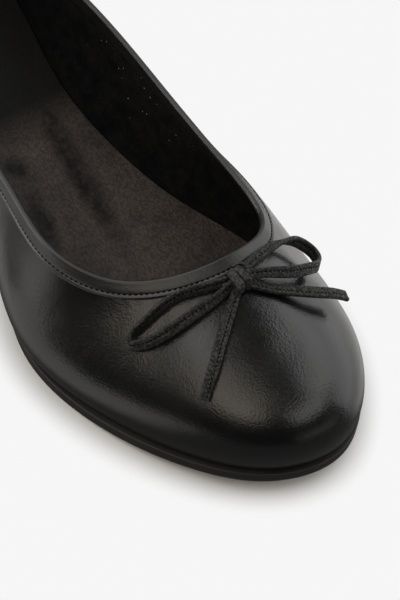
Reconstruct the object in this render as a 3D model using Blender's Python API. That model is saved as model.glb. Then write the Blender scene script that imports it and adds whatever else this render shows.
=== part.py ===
"""A right ballet flat with a bound topline and a flat leather bow on its vamp.

Metres, +Z up. The shoe stands on z = 0 with its toe towards -Y, its heel towards +Y and its
medial side, the big toe's, towards +X. Every round form of the shoe is a closed loop: a turn of 0
is the middle of the back, the medial side follows, pi is the tip of the toe, and the lateral side
leads back. A row's "along" is its place on the sole's length, from 0 at the back to 1 at the toe.
"""
from collections import namedtuple
from math import cos, pi, radians, sin

import bmesh
import bpy
import numpy as np
from mathutils import Vector
from mathutils.bvhtree import BVHTree

# Sole
SOLE_LENGTH = 0.250
HEEL_WIDTH = 0.057
WAIST_WIDTH = 0.052
BALL_WIDTH = 0.082
TOE_TIP_ACROSS = 0.0053
SOLE_THICKNESS = 0.0038
SOLE_RIM = 0.0015
SOLE_EDGE_ROUND = 0.0004
TOE_SPRING = 0.0067

# Heel block
HEEL_HEIGHT = 0.010
HEEL_BLOCK_LENGTH = 0.058
HEEL_BLOCK_INSET = 0.0008
HEEL_BLOCK_TAPER = 0.0014
HEEL_BREAST_HOLLOW = 0.003

# Upper
UPPER_WALL = 0.0015
TOPLINE_WALL = 0.0008
SKIVE_LENGTH = 0.008
COLLAR_HEIGHT = 0.063
SIDE_HEIGHT = 0.039
THROAT_HEIGHT = 0.0455
COLLAR_FROM_BACK = 0.006
THROAT_FROM_TOE = 0.0535
OPENING_WIDTH = 0.0595
THROAT_ACROSS = 0.0075

# Topline binding
BINDING_OUTER_LEG = 0.0048
BINDING_INNER_LEG = 0.0040
BINDING_THICKNESS = 0.0005

# Insole
INSOLE_THICKNESS = 0.0028

# Bow
STRIP_WIDTH = 0.0038
STRIP_THICKNESS = 0.0013
KNOT_WIDTH = 0.0068
KNOT_LENGTH = 0.0064
KNOT_HEIGHT = 0.0048
KNOT_ACROSS = 0.0031
KNOT_FROM_THROAT = 0.0078
KNOT_SQUARENESS = 2.6
LATERAL_LOOP_LENGTH = 0.0322
MEDIAL_LOOP_LENGTH = 0.029
FRONT_TAIL_LENGTH = 0.033
MEDIAL_TAIL_LENGTH = 0.030

# Clearances: between pieces that are glued or sewn together, and from the strips to the knot
FIT = 0.0003
KNOT_CLEARANCE = 0.0006

# Resolution
TURNS = 80
HEEL_SIDE_STEPS = 12
HEEL_BREAST_STEPS = 8
KNOT_RINGS = 8
KNOT_SIDES = 16
FOLD_STEPS = 4
LENGTH_SAMPLES = 60
RISES = (0.0, 0.06, 0.14, 0.24, 0.35, 0.47, 0.59, 0.71, 0.82, 0.92, 1.0)

# The sole's outline: half widths as shares of the named width
OutlineRow = namedtuple("OutlineRow", "along width lateral medial")
OUTLINE = (
    OutlineRow(0.050, HEEL_WIDTH, 0.360, 0.351),
    OutlineRow(0.150, HEEL_WIDTH, 0.491, 0.482),
    OutlineRow(0.260, HEEL_WIDTH, 0.509, 0.465),
    OutlineRow(0.400, WAIST_WIDTH, 0.500, 0.405),
    OutlineRow(0.500, WAIST_WIDTH, 0.525, 0.435),
    OutlineRow(0.600, BALL_WIDTH, 0.458, 0.342),
    OutlineRow(0.680, BALL_WIDTH, 0.533, 0.429),
    OutlineRow(0.760, BALL_WIDTH, 0.518, 0.481),
    OutlineRow(0.840, BALL_WIDTH, 0.442, 0.484),
    OutlineRow(0.910, BALL_WIDTH, 0.331, 0.413),
    OutlineRow(0.965, BALL_WIDTH, 0.194, 0.290),
)

# The sole's side view: where the heel seat ends, and the flat tread starts and ends, as shares
# of the sole's length from the back, and how the toe spring curves up
SEAT_END_SHARE = 0.12
TREAD_START_SHARE = 0.61
TREAD_END_SHARE = 0.74
SPRING_POWER = 1.5

# The opening: half widths as shares of its width, places as shares of its own length,
# and heights of the topline as shares of the named height
OpeningRow = namedtuple("OpeningRow", "along lateral medial height lateral_height medial_height")
OPENING = (
    OpeningRow(0.05, 0.265, 0.265, COLLAR_HEIGHT, 0.985, 0.985),
    OpeningRow(0.15, 0.372, 0.368, COLLAR_HEIGHT, 0.900, 0.910),
    OpeningRow(0.32, 0.425, 0.398, COLLAR_HEIGHT, 0.726, 0.756),
    OpeningRow(0.50, 0.466, 0.452, SIDE_HEIGHT, 0.990, 1.125),
    OpeningRow(0.68, 0.496, 0.470, SIDE_HEIGHT, 0.940, 1.030),
    OpeningRow(0.82, 0.550, 0.462, SIDE_HEIGHT, 0.975, 1.010),
    OpeningRow(0.93, 0.380, 0.440, SIDE_HEIGHT, 0.975, 1.000),
)

# Where a place of the sole's edge meets the opening, as a share of the opening's length
MeetingRow = namedtuple("MeetingRow", "along opening")
MEETING = (
    MeetingRow(0.15, 0.176),
    MeetingRow(0.30, 0.365),
    MeetingRow(0.50, 0.626),
    MeetingRow(0.60, 0.754),
    MeetingRow(0.68, 0.855),
    MeetingRow(0.76, 0.930),
    MeetingRow(0.84, 0.967),
    MeetingRow(0.90, 0.984),
    MeetingRow(0.95, 0.9955),
)

# The share of the wall's height over which its thickness turns from level to square
WALL_FOOT_SHARE = 0.15

# The wall's profile, from the sole's edge to the topline: how far it leans out at its foot, the
# slope at which it reaches the topline (degrees), and how long it keeps each direction, as
# shares of its span
WallRow = namedtuple("WallRow", "along lateral_lean medial_lean lateral_crown medial_crown reach")
WALL = (
    WallRow(0.00, 12.0, 12.0, 75.0, 75.0, 0.33),
    WallRow(0.15, 14.0, 14.0, 80.0, 80.0, 0.33),
    WallRow(0.30, 26.0, 22.0, 84.0, 86.0, 0.33),
    WallRow(0.50, 56.0, 30.0, 80.0, 86.0, 0.34),
    WallRow(0.60, 58.0, 22.0, 74.0, 70.0, 0.35),
    WallRow(0.68, 50.0, 14.0, 64.0, 47.0, 0.36),
    WallRow(0.76, 32.0, 12.0, 47.0, 48.0, 0.38),
    WallRow(0.84, 18.0, 5.0, 34.0, 52.0, 0.41),
    WallRow(0.92, 20.0, 10.0, 27.0, 33.0, 0.43),
    WallRow(1.00, 20.0, 20.0, 24.0, 24.0, 0.44),
)


# The bow's strips. An exit is where a strip leaves the knot: its direction in plan (0 medial, 90
# towards the toe), its level as a share of the knot's height, its roll and its share of the
# strip's width. A route's rows are places from the knot's middle, as shares of the strip's reach,
# with the height of its middle over the vamp as a share of the strip's width.
ExitRow = namedtuple("ExitRow", "angle level roll width")
RouteRow = namedtuple("RouteRow", "across ahead lift roll width")
Strip = namedtuple("Strip", "name length sections start rows end")
STRIPS = (
    Strip(
        "bow_loop_lateral", LATERAL_LOOP_LENGTH, 34,
        ExitRow(-150.0, 0.02, 30.0, 0.5),
        (
            RouteRow(-0.30, -0.130, 0.76, 24.0, 0.95),
            RouteRow(-0.48, -0.205, 0.80, 20.0, 1.0),
            RouteRow(-0.68, -0.238, 0.88, 16.0, 1.0),
            RouteRow(-0.86, -0.238, 0.98, 8.0, 1.0),
            RouteRow(-0.97, -0.225, 1.06, 0.0, 1.0),
            RouteRow(-1.00, -0.180, 1.10, -8.0, 1.0),
            RouteRow(-0.96, -0.128, 1.10, -18.0, 1.0),
            RouteRow(-0.82, -0.055, 1.04, -36.0, 1.0),
            RouteRow(-0.62, -0.012, 0.98, -45.0, 1.0),
            RouteRow(-0.42, 0.004, 0.90, -48.0, 1.0),
            RouteRow(-0.26, 0.014, 0.84, -40.0, 0.8),
        ),
        ExitRow(-180.0, 0.0, -30.0, 0.5),
    ),
    Strip(
        "bow_loop_medial", MEDIAL_LOOP_LENGTH, 34,
        ExitRow(-38.0, 0.22, 80.0, 0.6),
        (
            RouteRow(0.32, -0.105, 0.90, 78.0, 0.95),
            RouteRow(0.50, -0.140, 1.15, 62.0, 1.0),
            RouteRow(0.73, -0.170, 1.55, 36.0, 1.0),
            RouteRow(0.90, -0.140, 1.80, 16.0, 1.0),
            RouteRow(0.99, -0.040, 1.85, 4.0, 1.0),
            RouteRow(0.93, 0.095, 1.78, 12.0, 1.0),
            RouteRow(0.72, 0.190, 1.62, 30.0, 1.0),
            RouteRow(0.48, 0.185, 1.42, 44.0, 1.0),
            RouteRow(0.29, 0.110, 1.20, 50.0, 0.8),
        ),
        ExitRow(2.0, 0.14, 40.0, 0.5),
    ),
    Strip(
        "bow_tail_front", FRONT_TAIL_LENGTH, 16,
        ExitRow(140.0, -0.14, 84.0, 0.55),
        (
            RouteRow(-0.21, 0.160, 0.55, 88.0, 0.95),
            RouteRow(-0.32, 0.245, 0.56, 90.0, 1.0),
            RouteRow(-0.445, 0.345, 0.60, 90.0, 1.0),
            RouteRow(-0.58, 0.455, 0.68, 90.0, 1.0),
            RouteRow(-0.68, 0.540, 0.80, 90.0, 1.0),
            RouteRow(-0.745, 0.605, 0.92, 90.0, 1.0),
        ),
        None,
    ),
    Strip(
        "bow_tail_medial", MEDIAL_TAIL_LENGTH, 16,
        ExitRow(46.0, -0.18, 84.0, 0.55),
        (
            RouteRow(0.23, 0.195, 0.46, 86.0, 0.9),
            RouteRow(0.34, 0.275, 0.64, 88.0, 1.0),
            RouteRow(0.46, 0.355, 0.98, 90.0, 1.0),
            RouteRow(0.59, 0.430, 1.40, 92.0, 1.0),
            RouteRow(0.73, 0.490, 1.75, 94.0, 1.0),
            RouteRow(0.86, 0.530, 2.10, 95.0, 1.0),
        ),
        None,
    ),
)


# Curves

def loop_spline(knots, values, at):
    """The smooth closed curve through values at knots, which lie on one turn of 2 pi."""
    knots = np.asarray(knots, float)
    values = np.asarray(values, float)
    count = len(knots)
    steps = np.diff(np.append(knots, knots[0] + 2 * pi))
    matrix = np.zeros((count, count))
    right = np.zeros(count)
    for here in range(count):
        before = (here - 1) % count
        after = (here + 1) % count
        matrix[here, before] += steps[before]
        matrix[here, here] += 2 * (steps[before] + steps[here])
        matrix[here, after] += steps[here]
        rise_after = (values[after] - values[here]) / steps[here]
        rise_before = (values[here] - values[before]) / steps[before]
        right[here] = 6 * (rise_after - rise_before)
    bends = np.linalg.solve(matrix, right)
    at = np.mod(np.asarray(at, float) - knots[0], 2 * pi) + knots[0]
    here = np.clip(np.searchsorted(knots, at, side="right") - 1, 0, count - 1)
    after = (here + 1) % count
    step = steps[here]
    since = at - knots[here]
    until = step - since
    cubic = (bends[here] * until ** 3 + bends[after] * since ** 3) / (6 * step)
    from_here = (values[here] / step - bends[here] * step / 6) * until
    from_after = (values[after] / step - bends[after] * step / 6) * since
    return cubic + from_here + from_after


def turn_of(along):
    """The turn on the medial side at a place along a loop."""
    return np.arccos(np.clip(1 - 2 * np.asarray(along, float), -1, 1))


def along_of(turn):
    return (1 - np.cos(turn)) / 2


def two_sided(rows, back, tip, lateral, medial):
    """Knots and values of a closed loop from a table of rows with both ends added."""
    turns = [float(turn_of(row.along)) for row in rows]
    knots = [0.0] + turns + [pi] + [2 * pi - turn for turn in reversed(turns)]
    values = [back] + [medial(row) for row in rows] + [tip]
    values += [lateral(row) for row in reversed(rows)]
    return knots, values


def side_curve(rows, lateral, medial, turn):
    """Two columns of a table that has rows at both ends, read round the loop."""
    back = getattr(rows[0], lateral)
    tip = getattr(rows[-1], lateral)
    knots, values = two_sided(
        rows[1:-1], back, tip, lambda row: getattr(row, lateral), lambda row: getattr(row, medial)
    )
    return loop_spline(knots, values, turn)


def flat_normal(curve, turn):
    """The outward direction in plan of a loop at each turn."""
    nudge = 1e-4
    tangent = (curve(turn + nudge) - curve(turn - nudge))[:, :2]
    tangent /= np.linalg.norm(tangent, axis=1)[:, None]
    return np.column_stack([-tangent[:, 1], tangent[:, 0], np.zeros(len(tangent))])


# The shoe's main lines

def place_y(along):
    return SOLE_LENGTH * (0.5 - along)


def outline(turn):
    """The sole's edge in plan, at z = 0."""
    knots, values = two_sided(
        OUTLINE, 0.0, TOE_TIP_ACROSS,
        lambda row: -row.lateral * row.width, lambda row: row.medial * row.width,
    )
    across = loop_spline(knots, values, turn)
    return np.column_stack([across, place_y(along_of(turn)), np.zeros(len(across))])


def underside(y):
    """Height of the sole's underside over the floor."""
    along = 0.5 - np.asarray(y, float) / SOLE_LENGTH
    climb = np.clip((TREAD_START_SHARE - along) / (TREAD_START_SHARE - SEAT_END_SHARE), 0, 1)
    arch = HEEL_HEIGHT * climb ** 2 * (3 - 2 * climb)
    past_tread = np.clip((along - TREAD_END_SHARE) / (1 - TREAD_END_SHARE), 0, None)
    return arch + TOE_SPRING * past_tread ** SPRING_POWER


def inset_outline(turn, inset, lift):
    """The sole's edge drawn in by inset, at a height of lift over the underside."""
    points = outline(turn) - inset * flat_normal(outline, turn)
    points[:, 2] = underside(points[:, 1]) + lift
    return points


def feather(turn):
    """The line where the upper's outside stands on the sole."""
    return inset_outline(turn, SOLE_RIM, SOLE_THICKNESS + FIT)


def opening(turn):
    """The topline, by the opening's own turn."""
    across_knots, across_values = two_sided(
        OPENING, 0.0, THROAT_ACROSS,
        lambda row: -row.lateral * OPENING_WIDTH, lambda row: row.medial * OPENING_WIDTH,
    )
    height_knots, height_values = two_sided(
        OPENING, COLLAR_HEIGHT, THROAT_HEIGHT,
        lambda row: row.lateral_height * row.height, lambda row: row.medial_height * row.height,
    )
    length = SOLE_LENGTH - COLLAR_FROM_BACK - THROAT_FROM_TOE
    back = SOLE_LENGTH / 2 - COLLAR_FROM_BACK
    return np.column_stack([
        loop_spline(across_knots, across_values, turn),
        back - length * along_of(turn),
        loop_spline(height_knots, height_values, turn),
    ])


def opening_turn(turn):
    """The opening's own turn that meets a turn of the sole's edge."""
    rows = (MeetingRow(0.0, 0.0),) + MEETING + (MeetingRow(1.0, 1.0),)
    own = [float(turn_of(row.opening)) for row in rows]
    met = [float(turn_of(row.along)) for row in rows]
    drift = [a - b for a, b in zip(own, met)]
    knots = met + [2 * pi - value for value in reversed(met[1:-1])]
    drifts = drift + [-value for value in reversed(drift[1:-1])]
    return turn + loop_spline(knots, drifts, turn)


def wall_point(turn, rise):
    """The upper's outer face: rise runs from 0 at the sole's edge to 1 at the topline."""
    own = opening_turn(turn)
    foot = feather(turn)
    top = opening(own)
    foot_out = flat_normal(outline, turn)
    top_out = flat_normal(opening, own)
    up = np.array([0.0, 0.0, 1.0])
    lean = np.radians(side_curve(WALL, "lateral_lean", "medial_lean", turn))[:, None]
    crown = np.radians(side_curve(WALL, "lateral_crown", "medial_crown", turn))[:, None]
    span = np.linalg.norm(top - foot, axis=1)
    reach = (span * side_curve(WALL, "reach", "reach", turn))[:, None]
    near_foot = foot + reach * (up * np.cos(lean) + foot_out * np.sin(lean))
    near_top = top - reach * (up * np.sin(crown) - top_out * np.cos(crown))
    rise = np.asarray(rise, float)[:, None]
    rest = 1 - rise
    return (
        foot * rest ** 3 + near_foot * 3 * rest ** 2 * rise
        + near_top * 3 * rest * rise ** 2 + top * rise ** 3
    )


def wall_normal(turn, rise):
    """The outward direction of the upper's outer face."""
    nudge = 1e-3
    low = np.clip(rise - nudge, 0, 1)
    high = np.clip(rise + nudge, 0, 1)
    around = wall_point(turn + nudge, rise) - wall_point(turn - nudge, rise)
    upward = wall_point(turn, high) - wall_point(turn, low)
    normal = np.cross(upward, around)
    return normal / np.linalg.norm(normal, axis=1)[:, None]


def wall_layer(turn, rise, depth):
    """The upper's wall at a depth under its outer face. At its foot the depth is level."""
    points = wall_point(turn, rise)
    normal = wall_normal(turn, rise)
    level = flat_normal(outline, turn)
    upright = np.clip(rise / WALL_FOOT_SHARE, 0, 1)[:, None]
    direction = level * (1 - upright) + normal * upright
    direction /= np.linalg.norm(direction, axis=1)[:, None]
    return points - depth * direction


def rise_below_top(turn, depth):
    """The rise at which the outer face lies a length of depth below the topline."""
    samples = np.linspace(1, 0, LENGTH_SAMPLES)
    rises = []
    for value in turn:
        line = wall_point(np.full(len(samples), value), samples)
        lengths = np.append(0.0, np.cumsum(np.linalg.norm(np.diff(line, axis=0), axis=1)))
        rises.append(np.interp(depth, lengths, samples))
    return np.array(rises)


def wall_thickness(turn, rise):
    """The wall is skived thin towards the topline, where the binding folds over it."""
    foot_side = rise_below_top(turn, SKIVE_LENGTH)
    thin = np.clip((rise - foot_side) / (1 - foot_side), 0, 1)
    return UPPER_WALL + (TOPLINE_WALL - UPPER_WALL) * thin


def wall_inside(turn, rise):
    """The upper's inner face."""
    return wall_layer(turn, rise, wall_thickness(turn, rise)[:, None])


# Meshes

def make_object(name, verts, faces, material):
    mesh = bpy.data.meshes.new(name)
    mesh.from_pydata([tuple(point) for point in verts], [], faces)
    work = bmesh.new()
    work.from_mesh(mesh)
    bmesh.ops.recalc_face_normals(work, faces=work.faces[:])
    work.to_mesh(mesh)
    work.free()
    mesh.shade_smooth()
    mesh.set_sharp_from_angle(angle=radians(40))
    mesh.materials.append(material)
    thing = bpy.data.objects.new(name, mesh)
    bpy.context.scene.collection.objects.link(thing)
    return thing


def make_material(name, colour, roughness, metallic=0.0):
    material = bpy.data.materials.new(name)
    material.use_nodes = True
    shader = material.node_tree.nodes["Principled BSDF"]
    shader.inputs["Base Color"].default_value = (*colour, 1.0)
    shader.inputs["Roughness"].default_value = roughness
    shader.inputs["Metallic"].default_value = metallic
    return material


def closed_band(name, loops, material):
    """A ring whose section is the closed row of loops, each loop a ring of points."""
    count = len(loops[0])
    verts = np.concatenate(loops)
    faces = []
    for row in range(len(loops)):
        after = (row + 1) % len(loops)
        for here in range(count):
            there = (here + 1) % count
            faces.append((
                row * count + here, row * count + there,
                after * count + there, after * count + here,
            ))
    return make_object(name, verts, faces, material)


def slab(name, loops, material):
    """A plate whose edge runs through the loops from its underside to its top."""
    count = len(loops[0])
    verts = np.concatenate(loops)
    faces = []
    for row in range(len(loops) - 1):
        for here in range(count):
            there = (here + 1) % count
            faces.append((
                row * count + here, row * count + there,
                (row + 1) * count + there, (row + 1) * count + here,
            ))
    for base, turned in ((0, False), ((len(loops) - 1) * count, True)):
        for face in cross_strips(count):
            corners = [base + corner for corner in face]
            faces.append(tuple(reversed(corners)) if turned else tuple(corners))
    return make_object(name, verts, faces, material)


def cross_strips(count):
    """Faces that fill a loop with strips from its medial to its lateral side."""
    half = count // 2
    faces = [(0, 1, count - 1)]
    for row in range(1, half - 1):
        faces.append((row, row + 1, count - row - 1, count - row))
    faces.append((half - 1, half, half + 1))
    return faces


# Pieces

def make_outsole(material):
    turns = np.arange(TURNS) * 2 * pi / TURNS
    loops = [
        inset_outline(turns, SOLE_EDGE_ROUND, 0.0),
        inset_outline(turns, 0.0, SOLE_EDGE_ROUND),
        inset_outline(turns, 0.0, SOLE_THICKNESS - SOLE_EDGE_ROUND),
        inset_outline(turns, SOLE_EDGE_ROUND, SOLE_THICKNESS),
    ]
    return slab("outsole", loops, material)


def make_insole(material):
    turns = np.arange(TURNS) * 2 * pi / TURNS
    inset = SOLE_RIM + UPPER_WALL + FIT
    base = SOLE_THICKNESS + FIT
    loops = [
        inset_outline(turns, inset, base),
        inset_outline(turns, inset, base + INSOLE_THICKNESS - SOLE_EDGE_ROUND),
        inset_outline(turns, inset + SOLE_EDGE_ROUND, base + INSOLE_THICKNESS),
    ]
    return slab("insole", loops, material)


def make_upper(material):
    turns = np.arange(TURNS) * 2 * pi / TURNS
    loops = [wall_point(turns, np.full(TURNS, rise)) for rise in RISES]
    loops += [wall_inside(turns, np.full(TURNS, rise)) for rise in reversed(RISES)]
    return closed_band("upper", loops, material)


def make_binding(material):
    turns = np.arange(TURNS) * 2 * pi / TURNS
    top = np.ones(TURNS)
    normal = wall_normal(turns, top)
    around = wall_point(turns + 1e-3, top) - wall_point(turns - 1e-3, top)
    upward = np.cross(around, normal)
    upward /= np.linalg.norm(upward, axis=1)[:, None]
    middle = wall_point(turns, top) - normal * TOPLINE_WALL / 2
    half = TOPLINE_WALL / 2 + FIT
    outer_rises = [rise_below_top(turns, BINDING_OUTER_LEG * share) for share in (1.0, 0.5)]
    inner_rises = [rise_below_top(turns, BINDING_INNER_LEG * share) for share in (0.5, 1.0)]

    def face(grow):
        loops = [wall_layer(turns, rise, -FIT - grow) for rise in outer_rises]
        for step in range(FOLD_STEPS + 1):
            angle = pi * step / FOLD_STEPS
            loops.append(middle + (half + grow) * (normal * cos(angle) + upward * sin(angle)))
        for rise in inner_rises:
            loops.append(wall_layer(turns, rise, wall_thickness(turns, rise)[:, None] + FIT + grow))
        return loops

    loops = face(BINDING_THICKNESS) + face(0.0)[::-1]
    return closed_band("topline_binding", loops, material)


def make_heel(material):
    """The heel block: the sole's own outline behind a hollowed breast, flat on the floor."""
    breast = SOLE_LENGTH / 2 - HEEL_BLOCK_LENGTH
    reach = float(turn_of(HEEL_BLOCK_LENGTH / SOLE_LENGTH))
    turns = np.linspace(-reach, reach, 2 * HEEL_SIDE_STEPS + 1)
    steps = np.linspace(0, 1, HEEL_BREAST_STEPS + 1)[1:-1, None]
    rings = []
    for inset in (HEEL_BLOCK_INSET + HEEL_BLOCK_TAPER, HEEL_BLOCK_INSET):
        line = inset_outline(turns, inset, 0.0)
        line[[0, -1], 1] = breast
        front = line[-1] * (1 - steps) + line[0] * steps
        front[:, 1] += HEEL_BREAST_HOLLOW * 4 * (steps * (1 - steps))[:, 0]
        rings.append(np.concatenate([line, front]))
    foot, seat = rings
    foot[:, 2] = 0.0
    seat[:, 2] = underside(seat[:, 1]) - FIT
    count = len(foot)
    last = 2 * HEEL_SIDE_STEPS
    faces = [tuple(reversed(range(count)))]
    for here in range(count):
        there = (here + 1) % count
        faces.append((here, there, count + there, count + here))
    for here in range(HEEL_SIDE_STEPS - 1):
        faces.append((count + here, count + last - here, count + last - here - 1, count + here + 1))
    back = count + HEEL_SIDE_STEPS
    faces.append((back - 1, back + 1, back))
    faces.append((count,) + tuple(range(2 * count - 1, count + last - 1, -1)))
    return make_object("heel", np.concatenate([foot, seat]), faces, material)


class Vamp:
    """The top of the shoe, to set the bow on."""

    def __init__(self, *things):
        graph = bpy.context.evaluated_depsgraph_get()
        self.trees = [BVHTree.FromObject(thing, graph) for thing in things]
        self.floor = THROAT_HEIGHT / 2

    def height(self, x, y):
        start = Vector((x, y, 2 * COLLAR_HEIGHT))
        hits = [tree.ray_cast(start, Vector((0, 0, -1)))[0] for tree in self.trees]
        return max([hit.z for hit in hits if hit is not None] + [self.floor])


def knot_centre(vamp):
    """The knot lies on the vamp ahead of the throat, clear of what is under it by FIT."""
    x = KNOT_ACROSS
    y = THROAT_FROM_TOE - SOLE_LENGTH / 2 - KNOT_FROM_THROAT
    heights = []
    for ring in (0.0, 0.5, 0.9):
        depth = KNOT_HEIGHT / 2 * (1 - ring ** KNOT_SQUARENESS) ** (1 / KNOT_SQUARENESS)
        for side in range(KNOT_SIDES):
            angle = 2 * pi * side / KNOT_SIDES
            under_x = x + ring * KNOT_WIDTH / 2 * cos(angle)
            under_y = y + ring * KNOT_LENGTH / 2 * sin(angle)
            heights.append(vamp.height(under_x, under_y) + depth)
    return np.array([x, y, max(heights) + FIT])


def rounded_power(value):
    return np.sign(value) * np.abs(value) ** (2 / KNOT_SQUARENESS)


def make_knot(centre, material):
    """The knot, a rounded pad between a ball and a box."""
    rings = KNOT_RINGS
    sides = KNOT_SIDES
    half = np.array([KNOT_WIDTH, KNOT_LENGTH, KNOT_HEIGHT]) / 2
    verts = [centre - half * np.array([0, 0, 1])]
    for ring in range(1, rings):
        climb = -pi / 2 + pi * ring / rings
        for side in range(sides):
            angle = 2 * pi * side / sides
            unit = np.array([
                rounded_power(cos(climb)) * rounded_power(cos(angle)),
                rounded_power(cos(climb)) * rounded_power(sin(angle)),
                rounded_power(sin(climb)),
            ])
            verts.append(centre + half * unit)
    verts.append(centre + half * np.array([0, 0, 1]))
    top = len(verts) - 1
    faces = []
    for side in range(sides):
        after = (side + 1) % sides
        faces.append((0, 1 + after, 1 + side))
        faces.append((top, top - sides + side, top - sides + after))
        for ring in range(rings - 2):
            low = 1 + ring * sides
            faces.append((low + side, low + after, low + sides + after, low + sides + side))
    return make_object("bow_knot", verts, faces, material)


def smooth_line(points, count):
    """A natural cubic through points, spaced by their distances, read at count places."""
    points = np.asarray(points, float)
    knots = np.append(0.0, np.cumsum(np.linalg.norm(np.diff(points[:, :3], axis=0), axis=1)))
    steps = np.diff(knots)
    size = len(knots)
    matrix = np.eye(size)
    right = np.zeros_like(points)
    for here in range(1, size - 1):
        matrix[here, here - 1] = steps[here - 1]
        matrix[here, here] = 2 * (steps[here - 1] + steps[here])
        matrix[here, here + 1] = steps[here]
        rise_after = (points[here + 1] - points[here]) / steps[here]
        rise_before = (points[here] - points[here - 1]) / steps[here - 1]
        right[here] = 6 * (rise_after - rise_before)
    bends = np.linalg.solve(matrix, right)
    at = np.linspace(0, knots[-1], count)
    here = np.clip(np.searchsorted(knots, at, side="right") - 1, 0, size - 2)
    step = steps[here][:, None]
    since = (at - knots[here])[:, None]
    until = step - since
    cubic = (bends[here] * until ** 3 + bends[here + 1] * since ** 3) / (6 * step)
    from_here = (points[here] / step - bends[here] * step / 6) * until
    from_after = (points[here + 1] / step - bends[here + 1] * step / 6) * since
    return cubic + from_here + from_after


def knot_exit(centre, exit_row):
    """Where a strip leaves the knot's side."""
    angle = radians(exit_row.angle)
    across = abs(cos(angle)) / (KNOT_WIDTH / 2)
    ahead = abs(sin(angle)) / (KNOT_LENGTH / 2)
    radius = (across ** KNOT_SQUARENESS + ahead ** KNOT_SQUARENESS) ** (-1 / KNOT_SQUARENESS)
    radius += KNOT_CLEARANCE
    lift = exit_row.level * KNOT_HEIGHT
    return centre + np.array([radius * cos(angle), -radius * sin(angle), lift])


def strip_line(vamp, centre, strip):
    """A strip's middle line with its roll and width: x, y, z, roll, width in each row."""
    rows = []
    start = knot_exit(centre, strip.start)
    rows.append([*start, strip.start.roll, strip.start.width])
    for row in strip.rows:
        x = centre[0] + row.across * strip.length
        y = centre[1] - row.ahead * strip.length
        rows.append([x, y, vamp.height(x, y) + row.lift * STRIP_WIDTH, row.roll, row.width])
    if strip.end is not None:
        finish = knot_exit(centre, strip.end)
        rows.append([*finish, strip.end.roll, strip.end.width])
    return smooth_line(rows, strip.sections)


def make_strip(name, line, material):
    """A flat strip along a line. A roll of 0 stands it on edge and 90 degrees lays it flat."""
    middle = line[:, :3]
    ahead = np.gradient(middle, axis=0)
    ahead /= np.linalg.norm(ahead, axis=1)[:, None]
    level = np.cross(ahead, [0.0, 0.0, 1.0])
    level /= np.linalg.norm(level, axis=1)[:, None]
    upward = np.cross(level, ahead)
    roll = np.radians(line[:, 3])[:, None]
    wide = upward * np.cos(roll) + level * np.sin(roll)
    thick = np.cross(wide, ahead)
    half_width = line[:, 4:5] * STRIP_WIDTH / 2
    half_thickness = STRIP_THICKNESS / 2
    corners = [
        middle + wide * half_width * a + thick * half_thickness * b
        for a, b in ((1, 1), (1, -1), (-1, -1), (-1, 1))
    ]
    count = len(line)
    faces = [(0, count, 2 * count, 3 * count), (count - 1, 4 * count - 1, 3 * count - 1, 2 * count - 1)]
    for corner in range(4):
        after = (corner + 1) % 4
        for here in range(count - 1):
            faces.append((
                corner * count + here, after * count + here,
                after * count + here + 1, corner * count + here + 1,
            ))
    return make_object(name, np.concatenate(corners), faces, material)


def make_bow(vamp, material):
    centre = knot_centre(vamp)
    make_knot(centre, material)
    for strip in STRIPS:
        make_strip(strip.name, strip_line(vamp, centre, strip), material)


def set_on_origin(things):
    """Centre the whole shoe on the origin, with the floor at z = 0."""
    corners = np.array([vertex.co for thing in things for vertex in thing.data.vertices])
    middle = (corners.min(axis=0) + corners.max(axis=0)) / 2
    for thing in things:
        for vertex in thing.data.vertices:
            vertex.co.x -= middle[0]
            vertex.co.y -= middle[1]


def main():
    for thing in list(bpy.data.objects):
        bpy.data.objects.remove(thing, do_unlink=True)
    leather = make_material("upper_leather", (0.018, 0.018, 0.019), 0.32)
    edging = make_material("binding_leather", (0.017, 0.017, 0.018), 0.35)
    ribbon = make_material("bow_leather", (0.016, 0.016, 0.016), 0.42)
    rubber = make_material("sole_rubber", (0.012, 0.011, 0.011), 0.75)
    sock = make_material("sock_leather", (0.030, 0.024, 0.021), 0.6)
    make_outsole(rubber)
    make_heel(rubber)
    make_insole(sock)
    upper = make_upper(leather)
    binding = make_binding(edging)
    make_bow(Vamp(upper, binding), ribbon)
    set_on_origin(list(bpy.data.objects))


main()
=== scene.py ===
# The looks of a right ballet flat: smooth black leather with a bound topline, a suede lining,
# a grained insole, a thin cut sole and a flat stitched bow. Metres, +Z up, toe towards -Y, medial
# side towards +X. The shoe's forms are closed loops, as in the frame's own source: a turn of 0 is
# the middle of the back, the medial side follows, and pi is the tip of the toe.
from collections import namedtuple
from math import cos, pi, radians, sin, tan

import bmesh
import bpy
import numpy as np
from mathutils import Matrix, Vector
from mathutils.bvhtree import BVHTree


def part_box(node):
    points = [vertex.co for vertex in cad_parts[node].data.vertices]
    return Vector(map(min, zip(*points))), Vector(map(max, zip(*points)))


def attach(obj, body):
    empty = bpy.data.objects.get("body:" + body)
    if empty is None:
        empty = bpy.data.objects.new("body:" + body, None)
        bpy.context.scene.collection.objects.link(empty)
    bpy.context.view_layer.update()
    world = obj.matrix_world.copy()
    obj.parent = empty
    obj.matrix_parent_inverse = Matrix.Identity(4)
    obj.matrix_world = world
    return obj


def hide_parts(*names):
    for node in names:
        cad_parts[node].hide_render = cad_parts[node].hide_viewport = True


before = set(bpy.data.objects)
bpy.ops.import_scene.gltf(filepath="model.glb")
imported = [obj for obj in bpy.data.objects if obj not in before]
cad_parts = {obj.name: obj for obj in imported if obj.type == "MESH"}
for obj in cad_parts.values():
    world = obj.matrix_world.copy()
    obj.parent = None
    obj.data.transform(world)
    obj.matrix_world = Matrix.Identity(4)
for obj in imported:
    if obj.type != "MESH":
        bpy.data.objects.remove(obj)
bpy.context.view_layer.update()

MM = 0.001

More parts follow.
